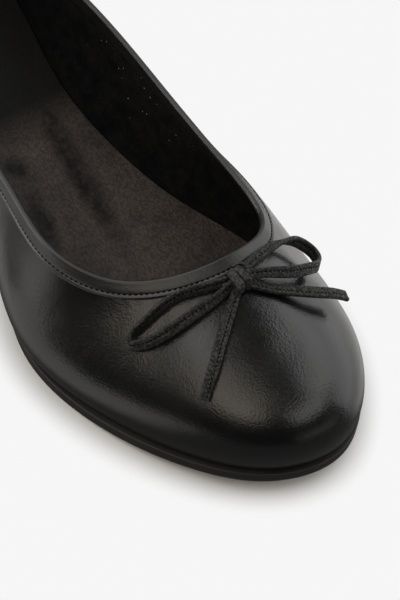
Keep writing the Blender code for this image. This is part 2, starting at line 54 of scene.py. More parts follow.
# Sizes of the frame that the visible surfaces follow
SOLE_LENGTH = 0.250
HEEL_WIDTH = 0.057
WAIST_WIDTH = 0.052
BALL_WIDTH = 0.082
TOE_TIP_ACROSS = 0.0053
SOLE_THICKNESS = 0.0038
SOLE_RIM = 0.0015
TOE_SPRING = 0.0067
HEEL_HEIGHT = 0.010
HEEL_BLOCK_LENGTH = 0.058
HEEL_BLOCK_INSET = 0.0008
HEEL_BLOCK_TAPER = 0.0014
HEEL_BREAST_HOLLOW = 0.003
UPPER_WALL = 0.0015
TOPLINE_WALL = 0.0008
SKIVE_LENGTH = 0.008
COLLAR_HEIGHT = 0.063
SIDE_HEIGHT = 0.039
THROAT_HEIGHT = 0.0455
COLLAR_FROM_BACK = 0.006
THROAT_FROM_TOE = 0.0535
OPENING_WIDTH = 0.0595
THROAT_ACROSS = 0.0075
BINDING_OUTER_LEG = 0.0048
BINDING_INNER_LEG = 0.0040
BINDING_THICKNESS = 0.0005
INSOLE_THICKNESS = 0.0028
STRIP_WIDTH = 0.0038
STRIP_THICKNESS = 0.0013
KNOT_WIDTH = 0.0068
KNOT_LENGTH = 0.0064
KNOT_HEIGHT = 0.0048
KNOT_SQUARENESS = 2.6
LATERAL_LOOP_LENGTH = 0.0322
MEDIAL_LOOP_LENGTH = 0.029
FRONT_TAIL_LENGTH = 0.033
MEDIAL_TAIL_LENGTH = 0.030
FIT = 0.0003

# The sole's side view, as shares of its length from the back
SEAT_END_SHARE = 0.12
TREAD_START_SHARE = 0.61
TREAD_END_SHARE = 0.74
SPRING_POWER = 1.5
WALL_FOOT_SHARE = 0.15

# Sizes that only the looks have
TUCK_RADIUS = 1.1 * MM
SEAM_GAP = 0.04 * MM
SOLE_BOTTOM_ROUND = 0.5 * MM
SOLE_TOP_ROUND = 0.35 * MM
SOLE_FIBRE_LINE = 0.28 * MM
HEEL_FOOT_ROUND = 0.7 * MM
INSOLE_EDGE_ROUND = 0.5 * MM
INSOLE_RING_STEP = 0.6 * MM
LINING_FROM = 0.5
DENT_FADE_TOP = 6 * MM
DENT_FADE_FOOT = 4 * MM
PUCKER_PITCH = 3.4 * MM
PUCKER_DEPTH = 0.055 * MM
PUCKER_REACH = 3.2 * MM
BINDING_STITCH_PITCH = 1.6 * MM
BINDING_STITCH_FROM_TOP = 0.675
BINDING_STITCH_PROUD = 0.90
BINDING_SUNK = 0.1 * MM
BINDING_FOLD_STEPS = 12
BINDING_FOLD_HEIGHT = 0.8
BINDING_STITCH = (1.05 * MM, 0.58 * MM, 0.26 * MM)
STRIP_STITCH_PITCH = 1.25 * MM
STRIP_STITCH_ACROSS = 0.24
STRIP_STITCH_PROUD = 0.80
STRIP_STITCH_END = 0.8 * MM
STRIP_STITCH = (0.80 * MM, 0.50 * MM, 0.30 * MM)
STRIP_TUCKED_IN = 1.0 * MM
STRIP_FACE_WIDTH = 3.5 * MM

# Fineness of the visible meshes
TURNS = 720
BINDING_TURNS = 960
STRIP_SECTIONS = 170
GRID_COLUMNS = 60
LENGTH_SAMPLES = 60
NUDGE = 1e-3
FINE_NUDGE = 1e-4


def table(names, *rows):
    """A table whose rows have named columns."""
    row_type = namedtuple("Row", names)
    return [row_type(*row) for row in rows]


OUTLINE = table(
    "along width lateral medial",
    (0.050, HEEL_WIDTH, 0.360, 0.351),
    (0.150, HEEL_WIDTH, 0.491, 0.482),
    (0.260, HEEL_WIDTH, 0.509, 0.465),
    (0.400, WAIST_WIDTH, 0.500, 0.405),
    (0.500, WAIST_WIDTH, 0.525, 0.435),
    (0.600, BALL_WIDTH, 0.458, 0.342),
    (0.680, BALL_WIDTH, 0.533, 0.429),
    (0.760, BALL_WIDTH, 0.518, 0.481),
    (0.840, BALL_WIDTH, 0.442, 0.484),
    (0.910, BALL_WIDTH, 0.331, 0.413),
    (0.965, BALL_WIDTH, 0.194, 0.290),
)

OPENING = table(
    "along lateral medial height lateral_height medial_height",
    (0.05, 0.265, 0.265, COLLAR_HEIGHT, 0.985, 0.985),
    (0.15, 0.372, 0.368, COLLAR_HEIGHT, 0.900, 0.910),
    (0.32, 0.425, 0.398, COLLAR_HEIGHT, 0.726, 0.756),
    (0.50, 0.466, 0.452, SIDE_HEIGHT, 0.990, 1.125),
    (0.68, 0.496, 0.470, SIDE_HEIGHT, 0.940, 1.030),
    (0.82, 0.550, 0.462, SIDE_HEIGHT, 0.975, 1.010),
    (0.93, 0.380, 0.440, SIDE_HEIGHT, 0.975, 1.000),
)

MEETING = table(
    "along opening",
    (0.00, 0.0),
    (0.15, 0.176),
    (0.30, 0.365),
    (0.50, 0.626),
    (0.60, 0.754),
    (0.68, 0.855),
    (0.76, 0.930),
    (0.84, 0.967),
    (0.90, 0.984),
    (0.95, 0.9955),
    (1.00, 1.0),
)

WALL = table(
    "along lateral_lean medial_lean lateral_crown medial_crown reach",
    (0.00, 12.0, 12.0, 75.0, 75.0, 0.33),
    (0.15, 14.0, 14.0, 80.0, 80.0, 0.33),
    (0.30, 26.0, 22.0, 84.0, 86.0, 0.33),
    (0.50, 56.0, 30.0, 80.0, 86.0, 0.34),
    (0.60, 58.0, 22.0, 74.0, 70.0, 0.35),
    (0.68, 50.0, 14.0, 64.0, 47.0, 0.36),
    (0.76, 32.0, 12.0, 47.0, 48.0, 0.38),
    (0.84, 18.0, 5.0, 34.0, 52.0, 0.41),
    (0.92, 20.0, 10.0, 27.0, 33.0, 0.43),
    (1.00, 20.0, 20.0, 24.0, 24.0, 0.44),
)

# The bow's strips, as in the frame: exits from the knot, then the route's rows
Exit = namedtuple("Exit", "angle level roll width")
Strip = namedtuple("Strip", "name length seam start rows end")
ROUTE = "across ahead lift roll width"
STRIPS = (
    Strip(
        "bow_loop_lateral", LATERAL_LOOP_LENGTH, 1, Exit(-150.0, 0.02, 30.0, 0.8),
        table(
            ROUTE,
            (-0.30, -0.130, 0.76, 24.0, 0.95),
            (-0.48, -0.205, 0.80, 20.0, 1.0),
            (-0.68, -0.238, 0.88, 16.0, 1.0),
            (-0.86, -0.238, 0.98, 8.0, 1.0),
            (-0.97, -0.225, 1.06, 0.0, 1.0),
            (-1.00, -0.180, 1.10, -8.0, 1.0),
            (-0.96, -0.128, 1.10, -18.0, 1.0),
            (-0.82, -0.055, 1.04, -36.0, 1.0),
            (-0.62, -0.012, 0.98, -45.0, 1.0),
            (-0.42, 0.004, 0.90, -48.0, 1.0),
            (-0.26, 0.014, 0.84, -40.0, 0.9),
        ),
        Exit(-180.0, 0.0, -30.0, 0.8),
    ),
    Strip(
        "bow_loop_medial", MEDIAL_LOOP_LENGTH, 1, Exit(-38.0, 0.22, 80.0, 0.85),
        table(
            ROUTE,
            (0.32, -0.105, 0.90, 78.0, 0.95),
            (0.50, -0.140, 1.15, 62.0, 1.0),
            (0.73, -0.170, 1.55, 20.0, 1.0),
            (0.90, -0.140, 1.80, -20.0, 1.0),
            (0.99, -0.040, 1.85, -32.0, 1.0),
            (0.93, 0.095, 1.78, -10.0, 1.0),
            (0.72, 0.190, 1.62, 30.0, 1.0),
            (0.48, 0.185, 1.42, 44.0, 1.0),
            (0.29, 0.110, 1.20, 50.0, 0.9),
        ),
        Exit(2.0, 0.14, 40.0, 0.75),
    ),
    Strip(
        "bow_tail_front", FRONT_TAIL_LENGTH, -1, Exit(140.0, -0.14, 84.0, 0.75),
        table(
            ROUTE,
            (-0.21, 0.160, 0.55, 88.0, 0.95),
            (-0.32, 0.245, 0.56, 90.0, 1.0),
            (-0.445, 0.345, 0.60, 90.0, 1.0),
            (-0.58, 0.455, 0.68, 80.0, 0.98),
            (-0.69, 0.535, 0.80, 64.0, 0.90),
            (-0.76, 0.595, 0.92, 52.0, 0.80),
        ),
        None,
    ),
    Strip(
        "bow_tail_medial", MEDIAL_TAIL_LENGTH, 1, Exit(46.0, -0.18, 84.0, 0.75),
        table(
            ROUTE,
            (0.23, 0.195, 0.46, 86.0, 0.9),
            (0.34, 0.275, 0.64, 88.0, 1.0),
            (0.46, 0.355, 0.98, 90.0, 1.0),
            (0.59, 0.430, 1.40, 92.0, 1.0),
            (0.74, 0.485, 1.80, 92.0, 1.0),
            (0.90, 0.525, 2.20, 92.0, 1.0),
        ),
        None,
    ),
)

# A doubled strip's section: across it and through it, as shares of its half width and half
# thickness. The folded edge is at -1, the stitched seam past the middle, the thin edge at +1.
STRIP_FACE = (
    (-1.00, 0.00), (-0.99, 0.45), (-0.93, 0.80), (-0.84, 0.98), (-0.62, 1.04),
    (-0.36, 1.05), (-0.10, 1.02), (0.08, 0.94), (0.16, 0.90), (0.21, 0.84),
    (0.24, 0.82), (0.27, 0.84), (0.32, 0.89), (0.42, 0.94), (0.60, 0.98),
    (0.80, 0.96), (0.93, 0.80), (0.99, 0.45), (1.00, 0.00),
)

# The binding's outer leg: how far below the topline, as a share of the leg, and how proud of
# the upper, as a share of the binding's thickness
BINDING_FACE = (
    (0.08, 1.00), (0.20, 1.05), (0.34, 1.12), (0.48, 1.14), (0.58, 1.06),
    (0.64, 0.92), (0.675, 0.80), (0.71, 0.90), (0.76, 1.10), (0.83, 1.30),
    (0.90, 1.30), (0.95, 1.00), (0.98, 0.50), (1.00, 0.00),
)

# Soft troughs and ridges of the leather and the insole: a place as a share of the sole's length
# and across it in mm, the half lengths of the mark in mm, its direction in plan (0 across the
# shoe, 90 along it) and its depth in mm, with ridges negative
DENT = "along across long short direction depth"
UPPER_DENTS = table(
    DENT,
    (0.800, -21, 13, 5, 60.0, 0.22),
    (0.865, -14, 10, 6, 35.0, -0.18),
    (0.905, 2, 11, 4, 10.0, 0.16),
    (0.880, 12, 16, 5, 62.0, 0.20),
    (0.700, -30, 8, 3, 75.0, 0.18),
    (0.665, -33, 9, 3, 80.0, -0.15),
    (0.620, -34, 10, 4, 85.0, 0.20),
    (0.580, -33, 10, 4, 95.0, -0.15),
    (0.760, 33, 12, 4, 80.0, 0.18),
    (0.700, 31, 12, 4, 95.0, -0.15),
    (0.300, 24, 14, 6, 90.0, 0.15),
    (0.300, -25, 14, 6, 90.0, 0.15),
)
INSOLE_DENTS = table(
    DENT,
    (0.500, 4.6, 30, 3.0, 82.0, 0.70),
    (0.510, 11.5, 22, 3.5, 82.0, -0.22),
    (0.500, -3.0, 26, 4.5, 84.0, -0.25),
    (0.545, -15.0, 16, 3.0, 76.0, 0.50),
    (0.620, 6.0, 14, 4.0, 70.0, 0.22),
    (0.150, 0.0, 18, 14, 90.0, 0.45),
)

# Painted shade on the insole in plan, with some wear, along its trough and beside the lateral
# wall: where the marks lie, their half lengths in mm, their direction and how dark they are
INSOLE_SHADE_MARKS = table(
    "along across long short direction share",
    (0.500, 4.6, 46, 6.5, 82.0, 1.0),
    (0.425, 7.0, 14, 6.0, 75.0, 0.9),
    (0.462, -11.5, 8, 5.5, 100.0, 1.0),
    (0.540, -15.0, 20, 5.5, 76.0, 1.0),
)
# Painted shade of the heel's walls: the insole turns black between these places behind the sole's
# middle
HEEL_SHADE_FROM = 12 * MM
HEEL_SHADE_TO = 28 * MM

# The camera's place in the same coordinates, its directions and its lens
CAMERA_PLACE = (-0.2416, -0.3212, 0.5166)
CAMERA_RIGHT = Vector((0.8036, -0.5881, 0.0917))
CAMERA_UP = Vector((0.441, 0.6918, 0.5718))
CAMERA_LENS = 126.69


# Curves of the frame

def unit(rows):
    """Rows of vectors, brought to length 1."""
    return rows / np.linalg.norm(rows, axis=1)[:, None]


def lengths_along(points):
    """The length of a line from its start to each of its points."""
    return np.append(0.0, np.cumsum(np.linalg.norm(np.diff(points[:, :3], axis=0), axis=1)))


def read_cubic(values, bends, here, after, step, since):
    """Cubics through values with bends at both ends of steps, at a length of since past here."""
    if values.ndim == 2:
        step, since = step[:, None], since[:, None]
    until = step - since
    cubic = (bends[here] * until ** 3 + bends[after] * since ** 3) / (6 * step)
    from_here = (values[here] / step - bends[here] * step / 6) * until
    from_after = (values[after] / step - bends[after] * step / 6) * since
    return cubic + from_here + from_after


def loop_spline(knots, values, at):
    """The smooth closed curve through values at knots, which lie on one turn of 2 pi."""
    knots, values, at = (np.asarray(given, float) for given in (knots, values, at))
    count = len(knots)
    steps = np.diff(np.append(knots, knots[0] + 2 * pi))
    matrix = np.zeros((count, count))
    right = np.zeros(count)
    for here in range(count):
        before, after = (here - 1) % count, (here + 1) % count
        matrix[here, before] += steps[before]
        matrix[here, here] += 2 * (steps[before] + steps[here])
        matrix[here, after] += steps[here]
        rise_after = (values[after] - values[here]) / steps[here]
        right[here] = 6 * (rise_after - (values[here] - values[before]) / steps[before])
    bends = np.linalg.solve(matrix, right)
    at = np.mod(at - knots[0], 2 * pi) + knots[0]
    here = np.clip(np.searchsorted(knots, at, side="right") - 1, 0, count - 1)
    return read_cubic(values, bends, here, (here + 1) % count, steps[here], at - knots[here])


def smooth_line(points, count):
    """A natural cubic through points, spaced by their distances, read at count places."""
    points = np.asarray(points, float)
    knots = lengths_along(points)
    return natural_cubic(knots, points, np.linspace(0, knots[-1], count))


def natural_cubic(knots, values, at):
    """The natural cubic through values, or rows of them, at rising knots."""
    knots, values, at = (np.asarray(given, float) for given in (knots, values, at))
    steps = np.diff(knots)
    size = len(knots)
    matrix = np.eye(size)
    right = np.zeros_like(values)
    for here in range(1, size - 1):
        before, after = steps[here - 1], steps[here]
        matrix[here, here - 1:here + 2] = before, 2 * (before + after), after
        rise_after = (values[here + 1] - values[here]) / after
        right[here] = 6 * (rise_after - (values[here] - values[here - 1]) / before)
    bends = np.linalg.solve(matrix, right)
    here = np.clip(np.searchsorted(knots, at, side="right") - 1, 0, size - 2)
    return read_cubic(values, bends, here, here + 1, steps[here], at - knots[here])


def turn_of(along):
    """The turn on the medial side at a place along a loop."""
    return np.arccos(np.clip(1 - 2 * np.asarray(along, float), -1, 1))


def along_of(turn):
    return (1 - np.cos(turn)) / 2


def columns(rows):
    """The columns of a table as arrays."""
    return type(rows[0])(*np.array(rows, float).T)


def two_sided(turn, along, back, tip, lateral, medial):
    """A closed loop's curve through its ends and the values on both sides, read at each turn."""
    turns = turn_of(along)
    knots = np.concatenate([[0.0], turns, [pi], 2 * pi - turns[::-1]])
    return loop_spline(knots, np.concatenate([[back], medial, [tip], lateral[::-1]]), turn)


def side_curve(rows, lateral, medial, turn):
    """Two columns of a table that has rows at both ends, read round the loop."""
    along = columns(rows).along[1:-1]
    lateral, medial = getattr(columns(rows), lateral), getattr(columns(rows), medial)
    return two_sided(turn, along, lateral[0], lateral[-1], lateral[1:-1], medial[1:-1])


def flat_normal(curve, turn):
    """The outward direction in plan of a loop at each turn."""
    tangent = unit((curve(turn + FINE_NUDGE) - curve(turn - FINE_NUDGE))[:, :2])
    return np.column_stack([-tangent[:, 1], tangent[:, 0], np.zeros(len(tangent))])


# The shoe's main lines

def outline(turn):
    """The sole's edge in plan, at z = 0."""
    rows = columns(OUTLINE)
    lateral, medial = -rows.lateral * rows.width, rows.medial * rows.width
    across = two_sided(turn, rows.along, 0.0, TOE_TIP_ACROSS, lateral, medial)
    return np.column_stack([across, SOLE_LENGTH * (0.5 - along_of(turn)), np.zeros(len(across))])


def underside(y):
    """Height of the sole's underside over the floor."""
    along = 0.5 - np.asarray(y, float) / SOLE_LENGTH
    climb = np.clip((TREAD_START_SHARE - along) / (TREAD_START_SHARE - SEAT_END_SHARE), 0, 1)
    arch = HEEL_HEIGHT * climb ** 2 * (3 - 2 * climb)
    past_tread = np.clip((along - TREAD_END_SHARE) / (1 - TREAD_END_SHARE), 0, None)
    return arch + TOE_SPRING * past_tread ** SPRING_POWER


def inset_outline(turn, inset, lift):
    """The sole's edge drawn in by inset, at a height of lift over the underside."""
    points = outline(turn) - np.reshape(inset, (-1, 1)) * flat_normal(outline, turn)
    points[:, 2] = underside(points[:, 1]) + lift
    return points


def opening(turn):
    """The topline, by the opening's own turn."""
    rows = columns(OPENING)
    lateral, medial = -rows.lateral * OPENING_WIDTH, rows.medial * OPENING_WIDTH
    across = two_sided(turn, rows.along, 0.0, THROAT_ACROSS, lateral, medial)
    lateral, medial = rows.lateral_height * rows.height, rows.medial_height * rows.height
    height = two_sided(turn, rows.along, COLLAR_HEIGHT, THROAT_HEIGHT, lateral, medial)
    length = SOLE_LENGTH - COLLAR_FROM_BACK - THROAT_FROM_TOE
    y = SOLE_LENGTH / 2 - COLLAR_FROM_BACK - length * along_of(turn)
    return np.column_stack([across, y, height])


def opening_turn(turn):
    """The opening's own turn that meets a turn of the sole's edge."""
    met = turn_of(columns(MEETING).along)
    drift = turn_of(columns(MEETING).opening) - met
    knots = np.append(met, 2 * pi - met[-2:0:-1])
    return turn + loop_spline(knots, np.append(drift, -drift[-2:0:-1]), turn)


def wall_point(turn, rise):
    """The upper's outer face: rise runs from 0 at the sole's edge to 1 at the topline."""
    own = opening_turn(turn)
    foot = inset_outline(turn, SOLE_RIM, SOLE_THICKNESS + FIT)
    top = opening(own)
    foot_out = flat_normal(outline, turn)
    top_out = flat_normal(opening, own)
    up = np.array([0.0, 0.0, 1.0])
    lean = np.radians(side_curve(WALL, "lateral_lean", "medial_lean", turn))[:, None]
    crown = np.radians(side_curve(WALL, "lateral_crown", "medial_crown", turn))[:, None]
    span = np.linalg.norm(top - foot, axis=1)
    reach = (span * side_curve(WALL, "reach", "reach", turn))[:, None]
    near_foot = foot + reach * (up * np.cos(lean) + foot_out * np.sin(lean))
    near_top = top - reach * (up * np.sin(crown) - top_out * np.cos(crown))
    rise = np.asarray(rise, float)[:, None]
    rest = 1 - rise
    return (
        foot * rest ** 3 + near_foot * 3 * rest ** 2 * rise
        + near_top * 3 * rest * rise ** 2 + top * rise ** 3
    )


def wall_normal(turn, rise):
    """The outward direction of the upper's outer face."""
    low = np.clip(rise - NUDGE, 0, 1)
    high = np.clip(rise + NUDGE, 0, 1)
    around = wall_point(turn + NUDGE, rise) - wall_point(turn - NUDGE, rise)
    return unit(np.cross(wall_point(turn, high) - wall_point(turn, low), around))


def wall_direction(turn, rise):
    """The direction through the wall: level at its foot, square to its face above."""
    upright = np.clip(rise / WALL_FOOT_SHARE, 0, 1)[:, None]
    return unit(flat_normal(outline, turn) * (1 - upright) + wall_normal(turn, rise) * upright)


class Wall:
    """The upper's wall on a grid of rises and turns."""

    def __init__(self, turns, rises):
        shape = (len(rises), len(turns), 3)
        turn = np.tile(turns, len(rises))
        rise = np.repeat(rises, len(turns))
        self.outer = wall_point(turn, rise).reshape(shape)
        self.direction = wall_direction(turn, rise).reshape(shape)
        steps = np.linalg.norm(np.diff(self.outer, axis=0), axis=2)
        self.from_foot = np.concatenate([np.zeros((1, len(turns))), np.cumsum(steps, axis=0)])
        self.from_top = self.from_foot[-1] - self.from_foot
        thin = np.clip(1 - self.from_top / SKIVE_LENGTH, 0, 1)
        self.thickness = (UPPER_WALL + (TOPLINE_WALL - UPPER_WALL) * thin)[:, :, None]


def rise_below_top(turns, depth):
    """The rise at which the outer face lies a length of depth below the topline."""
    samples = np.linspace(1, 0, LENGTH_SAMPLES)
    turn = np.repeat(turns, LENGTH_SAMPLES)
    lines = wall_point(turn, np.tile(samples, len(turns))).reshape(len(turns), LENGTH_SAMPLES, 3)
    return np.array([np.interp(depth, lengths_along(line), samples) for line in lines])


def on_wall(turns, below, proud=0.0):
    """Points a length below the topline that stand proud of the upper's outer face."""
    rise = rise_below_top(turns, below)
    return wall_point(turns, rise) + wall_direction(turns, rise) * proud


def quarter_round(radius, steps):
    """A rounded edge: what radius leaves of its sine and its cosine at steps of a quarter turn."""
    angles = [pi / 2 * step / (steps - 1) for step in range(steps)]
    return [(radius * (1 - sin(angle)), radius * (1 - cos(angle))) for angle in angles]


# The functions above have the sole's own middle line at x = 0. The frame is centred on its box.
EVEN_TURNS = np.arange(TURNS) * 2 * pi / TURNS
SHIFT = np.array([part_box("outsole")[0].x - outline(EVEN_TURNS)[:, 0].min(), 0.0, 0.0])


def relief(points, dents):
    """How far the soft marks push a surface in at each point."""
    total = np.zeros(points.shape[:-1])
    for dent in dents:
        x = points[..., 0] - dent.across * MM
        y = points[..., 1] - SOLE_LENGTH * (0.5 - dent.along)
        direction = radians(dent.direction)
        lengthwise = (x * cos(direction) + y * sin(direction)) / (dent.long * MM)
        sideways = (y * cos(direction) - x * sin(direction)) / (dent.short * MM)
        total += dent.depth * MM * np.exp(-lengthwise ** 2 - sideways ** 2)
    return total


# Meshes

def add_mesh(name, verts, faces, materials, face_materials=None, sharp_angle=50):
    """A smooth piece from design coordinates, with its faces turned outwards."""
    mesh = bpy.data.meshes.new(name)
    mesh.from_pydata(np.asarray(verts) + SHIFT, [], faces)
    work = bmesh.new()
    work.from_mesh(mesh)
    bmesh.ops.recalc_face_normals(work, faces=work.faces[:])
    work.to_mesh(mesh)
    work.free()
    for material in materials:
        mesh.materials.append(material)
    if face_materials is not None:
        mesh.polygons.foreach_set("material_index", np.asarray(face_materials, dtype=np.int32))
    mesh.shade_smooth()
    mesh.set_sharp_from_angle(angle=radians(sharp_angle))
    thing = bpy.data.objects.new(name, mesh)
    bpy.context.scene.collection.objects.link(thing)
    return thing


def place(piece, slot, *nodes):
    """Ties a piece to the shoe's body and hides the nodes that it stands for; slot is not used."""
    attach(piece, "root")
    if nodes:
        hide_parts(*nodes)
    return piece


def ring_faces(rows, count, closed=False, base=0):
    """Quads between rows of rings of points."""
    here = np.arange(count)
    there = (here + 1) % count
    faces = []
    for row in range(rows if closed else rows - 1):
        low = base + row * count
        high = base + ((row + 1) % rows) * count
        faces.append(np.column_stack([low + here, low + there, high + there, high + here]))
    return np.concatenate(faces)


def closed_band(name, loops, materials, face_materials=None, **settings):
    """A ring whose section is the closed row of loops, each loop a ring of points."""
    count = len(loops[0])
    faces = ring_faces(len(loops), count, closed=True)
    if face_materials is not None:
        face_materials = np.repeat(face_materials, count)
    return add_mesh(name, np.concatenate(loops), faces, materials, face_materials, **settings)


def cross_grid(ring, base, height):
    """Rows of points from a ring's medial to its lateral side, as new points and an index grid."""
    count = len(ring)
    half = count // 2
    last = GRID_COLUMNS
    shares = (1 - np.cos(np.linspace(0, pi, last + 1))) / 2
    index = np.zeros((half + 1, last + 1), dtype=int)
    index[0] = 0
    index[half] = half
    rows = np.arange(1, half)
    index[1:half, 0] = rows
    index[1:half, last] = count - rows
    medial = ring[rows][:, None, :]
    lateral = ring[count - rows][:, None, :]
    inner = shares[1:-1][None, :, None]
    points = medial * (1 - inner) + lateral * inner
    points[..., 2] = height(points)
    own = base + np.arange((half - 1) * (last - 1)).reshape(half - 1, last - 1)
    index[1:half, 1:last] = own
    return points.reshape(-1, 3), index


def grid_faces(index, ring_base, count):
    """Faces of a cross grid, whose border points are those of the ring at ring_base."""
    own = index >= count
    index = np.where(own, index, index + ring_base)
    quads = np.stack([index[:-1, :-1], index[1:, :-1], index[1:, 1:], index[:-1, 1:]], axis=-1)
    faces = []
    for quad in quads.reshape(-1, 4).tolist():
        corners = list(dict.fromkeys(quad))
        if len(corners) > 2:
            faces.append(corners)
    return faces


def slab(name, loops, heights, materials, ring_materials):
    """A plate whose edge runs through the loops from its underside to its top."""
    count = len(loops[0])
    verts = list(loops)
    faces = ring_faces(len(loops), count).tolist()
    indices = np.repeat(ring_materials, count).tolist()
    total = len(loops) * count
    for ring, height in ((0, heights[0]), (len(loops) - 1, heights[1])):
        points, index = cross_grid(loops[ring], total, height)
        verts.append(points)
        caps = grid_faces(index, ring * count, total)
        faces += caps
        indices += [0] * len(caps)
        total += len(points)
    return add_mesh(name, np.concatenate(verts), faces, materials, indices)


def sweep(name, middle, wide, thick, section, materials, sizes, sharp_angle=50):
    """A body along a line: section points in shares of each place's half width and thickness."""
    count = len(middle)
    sides = len(section)
    half_width, half_thickness = sizes
    rings = []
    for across, through in section:
        rings.append(middle + wide * half_width * across + thick * half_thickness * through)
    verts = np.stack(rings, axis=1).reshape(-1, 3)
    faces = ring_faces(count, sides).tolist()
    faces.append(list(range(sides)))
    faces.append(list(range((count - 1) * sides, count * sides)))
    indices = [0] * (len(faces) - 2) + [len(materials) - 1] * 2
    return add_mesh(name, verts, faces, materials, indices, sharp_angle)


def stitches(name, centres, ahead, up, size, materials):
    """A row of sewn stitches as one mesh of small rounded bodies."""
    sides = 8
    rings = np.linspace(-0.5, 0.5, 6)[1:-1]
    length, width, height = size
    angles = np.arange(sides) * 2 * pi / sides
    side = np.cross(ahead, up)
    verts = []
    faces = []
    own = 2 + sides * len(rings)
    for place_number, centre in enumerate(centres):
        a, u, s = ahead[place_number], up[place_number], side[place_number]
        base = place_number * own
        verts.append(centre - a * length / 2)
        for ring in rings:
            swell = (1 - (2 * ring) ** 4) ** 0.5
            for angle in angles:
                offset = s * cos(angle) * width / 2 + u * sin(angle) * height / 2
                verts.append(centre + a * length * ring + offset * swell)
        verts.append(centre + a * length / 2)
        last = base + own - 1
        for here in range(sides):
            there = (here + 1) % sides
            faces.append((base, base + 1 + there, base + 1 + here))
            faces.append((last, last - sides + here, last - sides + there))
            for ring in range(len(rings) - 1):
                low = base + 1 + ring * sides
                faces.append((low + here, low + there, low + sides + there, low + sides + here))
    return add_mesh(name, verts, faces, materials, sharp_angle=80)


def row_of_stitches(line, up, pitch, trim=0.0):
    """Evenly spaced places on a line, with the line's direction and the face's at each."""
    lengths = lengths_along(line)
    count = int(round((lengths[-1] - 2 * trim) / pitch))
    at = trim + (np.arange(count) + 0.5) * (lengths[-1] - 2 * trim) / count
    read = lambda values: np.column_stack([np.interp(at, lengths, values[:, k]) for k in range(3)])
    ahead = unit(read(np.gradient(line, axis=0)))
    face = read(up)
    return read(line), ahead, unit(face - ahead * np.sum(face * ahead, axis=1)[:, None])


# Materials

class Nodes:
    """A node tree that grows call by call."""

    def __init__(self, tree):
        self.tree = tree

    def add(self, kind, inputs=None, **settings):
        """A shader node with its settings, and its inputs set or linked."""
        made = self.tree.nodes.new("ShaderNode" + kind)
        for key, value in settings.items():
            setattr(made, key, value)
        for key, value in (inputs or {}).items():
            if isinstance(value, bpy.types.NodeSocket):
                self.tree.links.new(value, made.inputs[key])
            else:
                made.inputs[key].default_value = value
        return made

    def remap(self, value, low, high, new_low, new_high, **settings):
        return self.add("MapRange", {
            "Value": value, "From Min": low, "From Max": high,
            "To Min": new_low, "To Max": new_high,
        }, **settings).outputs["Result"]


class Look(Nodes):
    """A Principled material, drawn over the piece's own coordinates in metres."""

    def __init__(self, name, roughness, **values):
        self.material = bpy.data.materials.new(name)
        self.material.use_nodes = True
        super().__init__(self.material.node_tree)
        self.shader = self.tree.nodes["Principled BSDF"]
        for key, value in (("Roughness", roughness), *values.items()):
            self.shader.inputs[key.replace("_", " ")].default_value = value
        self.place = self.add("TexCoord").outputs["Object"]

    def drive(self, **sockets):
        """Links sockets to the shader's inputs of their names."""
        for key, socket in sockets.items():
            self.tree.links.new(socket, self.shader.inputs[key.replace("_", " ")])
        return self.material

    def noise(self, size, detail=2.0, roughness=0.5, at=None, output="Fac"):
        """Noise whose blobs are about size across, in metres."""
        return self.add("TexNoise", {
            "Vector": self.place if at is None else at,
            "Scale": 1 / size, "Detail": detail, "Roughness": roughness,
        }).outputs[output]

    def cells(self, size, at=None, feature="SMOOTH_F1", randomness=0.9):
        """Distance from the nearest of scattered points about size apart, in shares of size."""
        return self.add("TexVoronoi", {
            "Vector": self.place if at is None else at,
            "Scale": 1 / size, "Randomness": randomness,
        }, feature=feature).outputs["Distance"]

    def math(self, operation, first, second):
        return self.add("Math", {0: first, 1: second}, operation=operation).outputs[0]

    def vector(self, operation, first, **others):
        """Vector maths; the second input is called second, a scale Scale."""
        inputs = {0: first}
        for key, value in others.items():
            inputs[1 if key == "second" else key] = value
        made = self.add("VectorMath", inputs, operation=operation)
        return made.outputs["Value" if operation == "LENGTH" else "Vector"]

    def bump(self, height, depth, below=None):
        """A bump whose full range of height is depth, in metres, over the bumps below."""
        inputs = {"Height": height, "Distance": depth, "Strength": 1.0}
        if below is not None:
            inputs["Normal"] = below
        return self.add("Bump", inputs).outputs["Normal"]

    def blend(self, share, *ends):
        """A colour between two ends, each a grey level, a colour or a socket."""
        inputs = {0: share}
        for key, end in zip((6, 7), ends):
            end = (end,) * 3 if isinstance(end, float) else end
            inputs[key] = (*end, 1.0) if isinstance(end, tuple) else end
        return self.add("Mix", inputs, data_type="RGBA").outputs[2]

    def grain(self, pebbles, fine_size, share):
        """The height of pebbles with a share of a finer noise."""
        fine = self.math("MULTIPLY", self.noise(fine_size, 3.0, 0.6), share)
        return self.math("ADD", pebbles, fine)

    def warped(self, size, reach):
        """The coordinates, pushed about by soft noise."""
        push = self.vector("SCALE", self.noise(size, output="Color"), Scale=reach)
        return self.vector("ADD", self.place, second=push)

    def turned(self, at, degrees, stretch=1.0):
        """Coordinates turned in plan, with forms drawn out where stretch is below 1."""
        return self.add("Mapping", {
            "Vector": at, "Rotation": (0.0, 0.0, radians(degrees)), "Scale": (1.0, stretch, 1.0),
        }).outputs["Vector"]

    def soft_region(self, centre, radii):
        """1 in the middle of an ellipsoid of the shoe's space, falling to 0 at its edge."""
        offset = self.vector("SUBTRACT", self.place, second=centre)
        scaled = self.vector("MULTIPLY", offset, second=tuple(1 / radius for radius in radii))
        return self.remap(self.vector("LENGTH", scaled), 1.0, 0.0, 0.0, 1.0)

    def mark_share(self, mark):
        """How much of a mark's darkness reaches a point, through the whole height."""
        centre = (mark.across * MM + SHIFT[0], SOLE_LENGTH * (0.5 - mark.along), 0.0)
        offset = self.vector("SUBTRACT", self.place, second=centre)
        scale = (1 / (mark.long * MM), 1 / (mark.short * MM), 0.0)
        scaled = self.vector("MULTIPLY", self.turned(offset, -mark.direction), second=scale)
        return self.remap(self.vector("LENGTH", scaled), 1.0, 0.3, 0.0, mark.share)


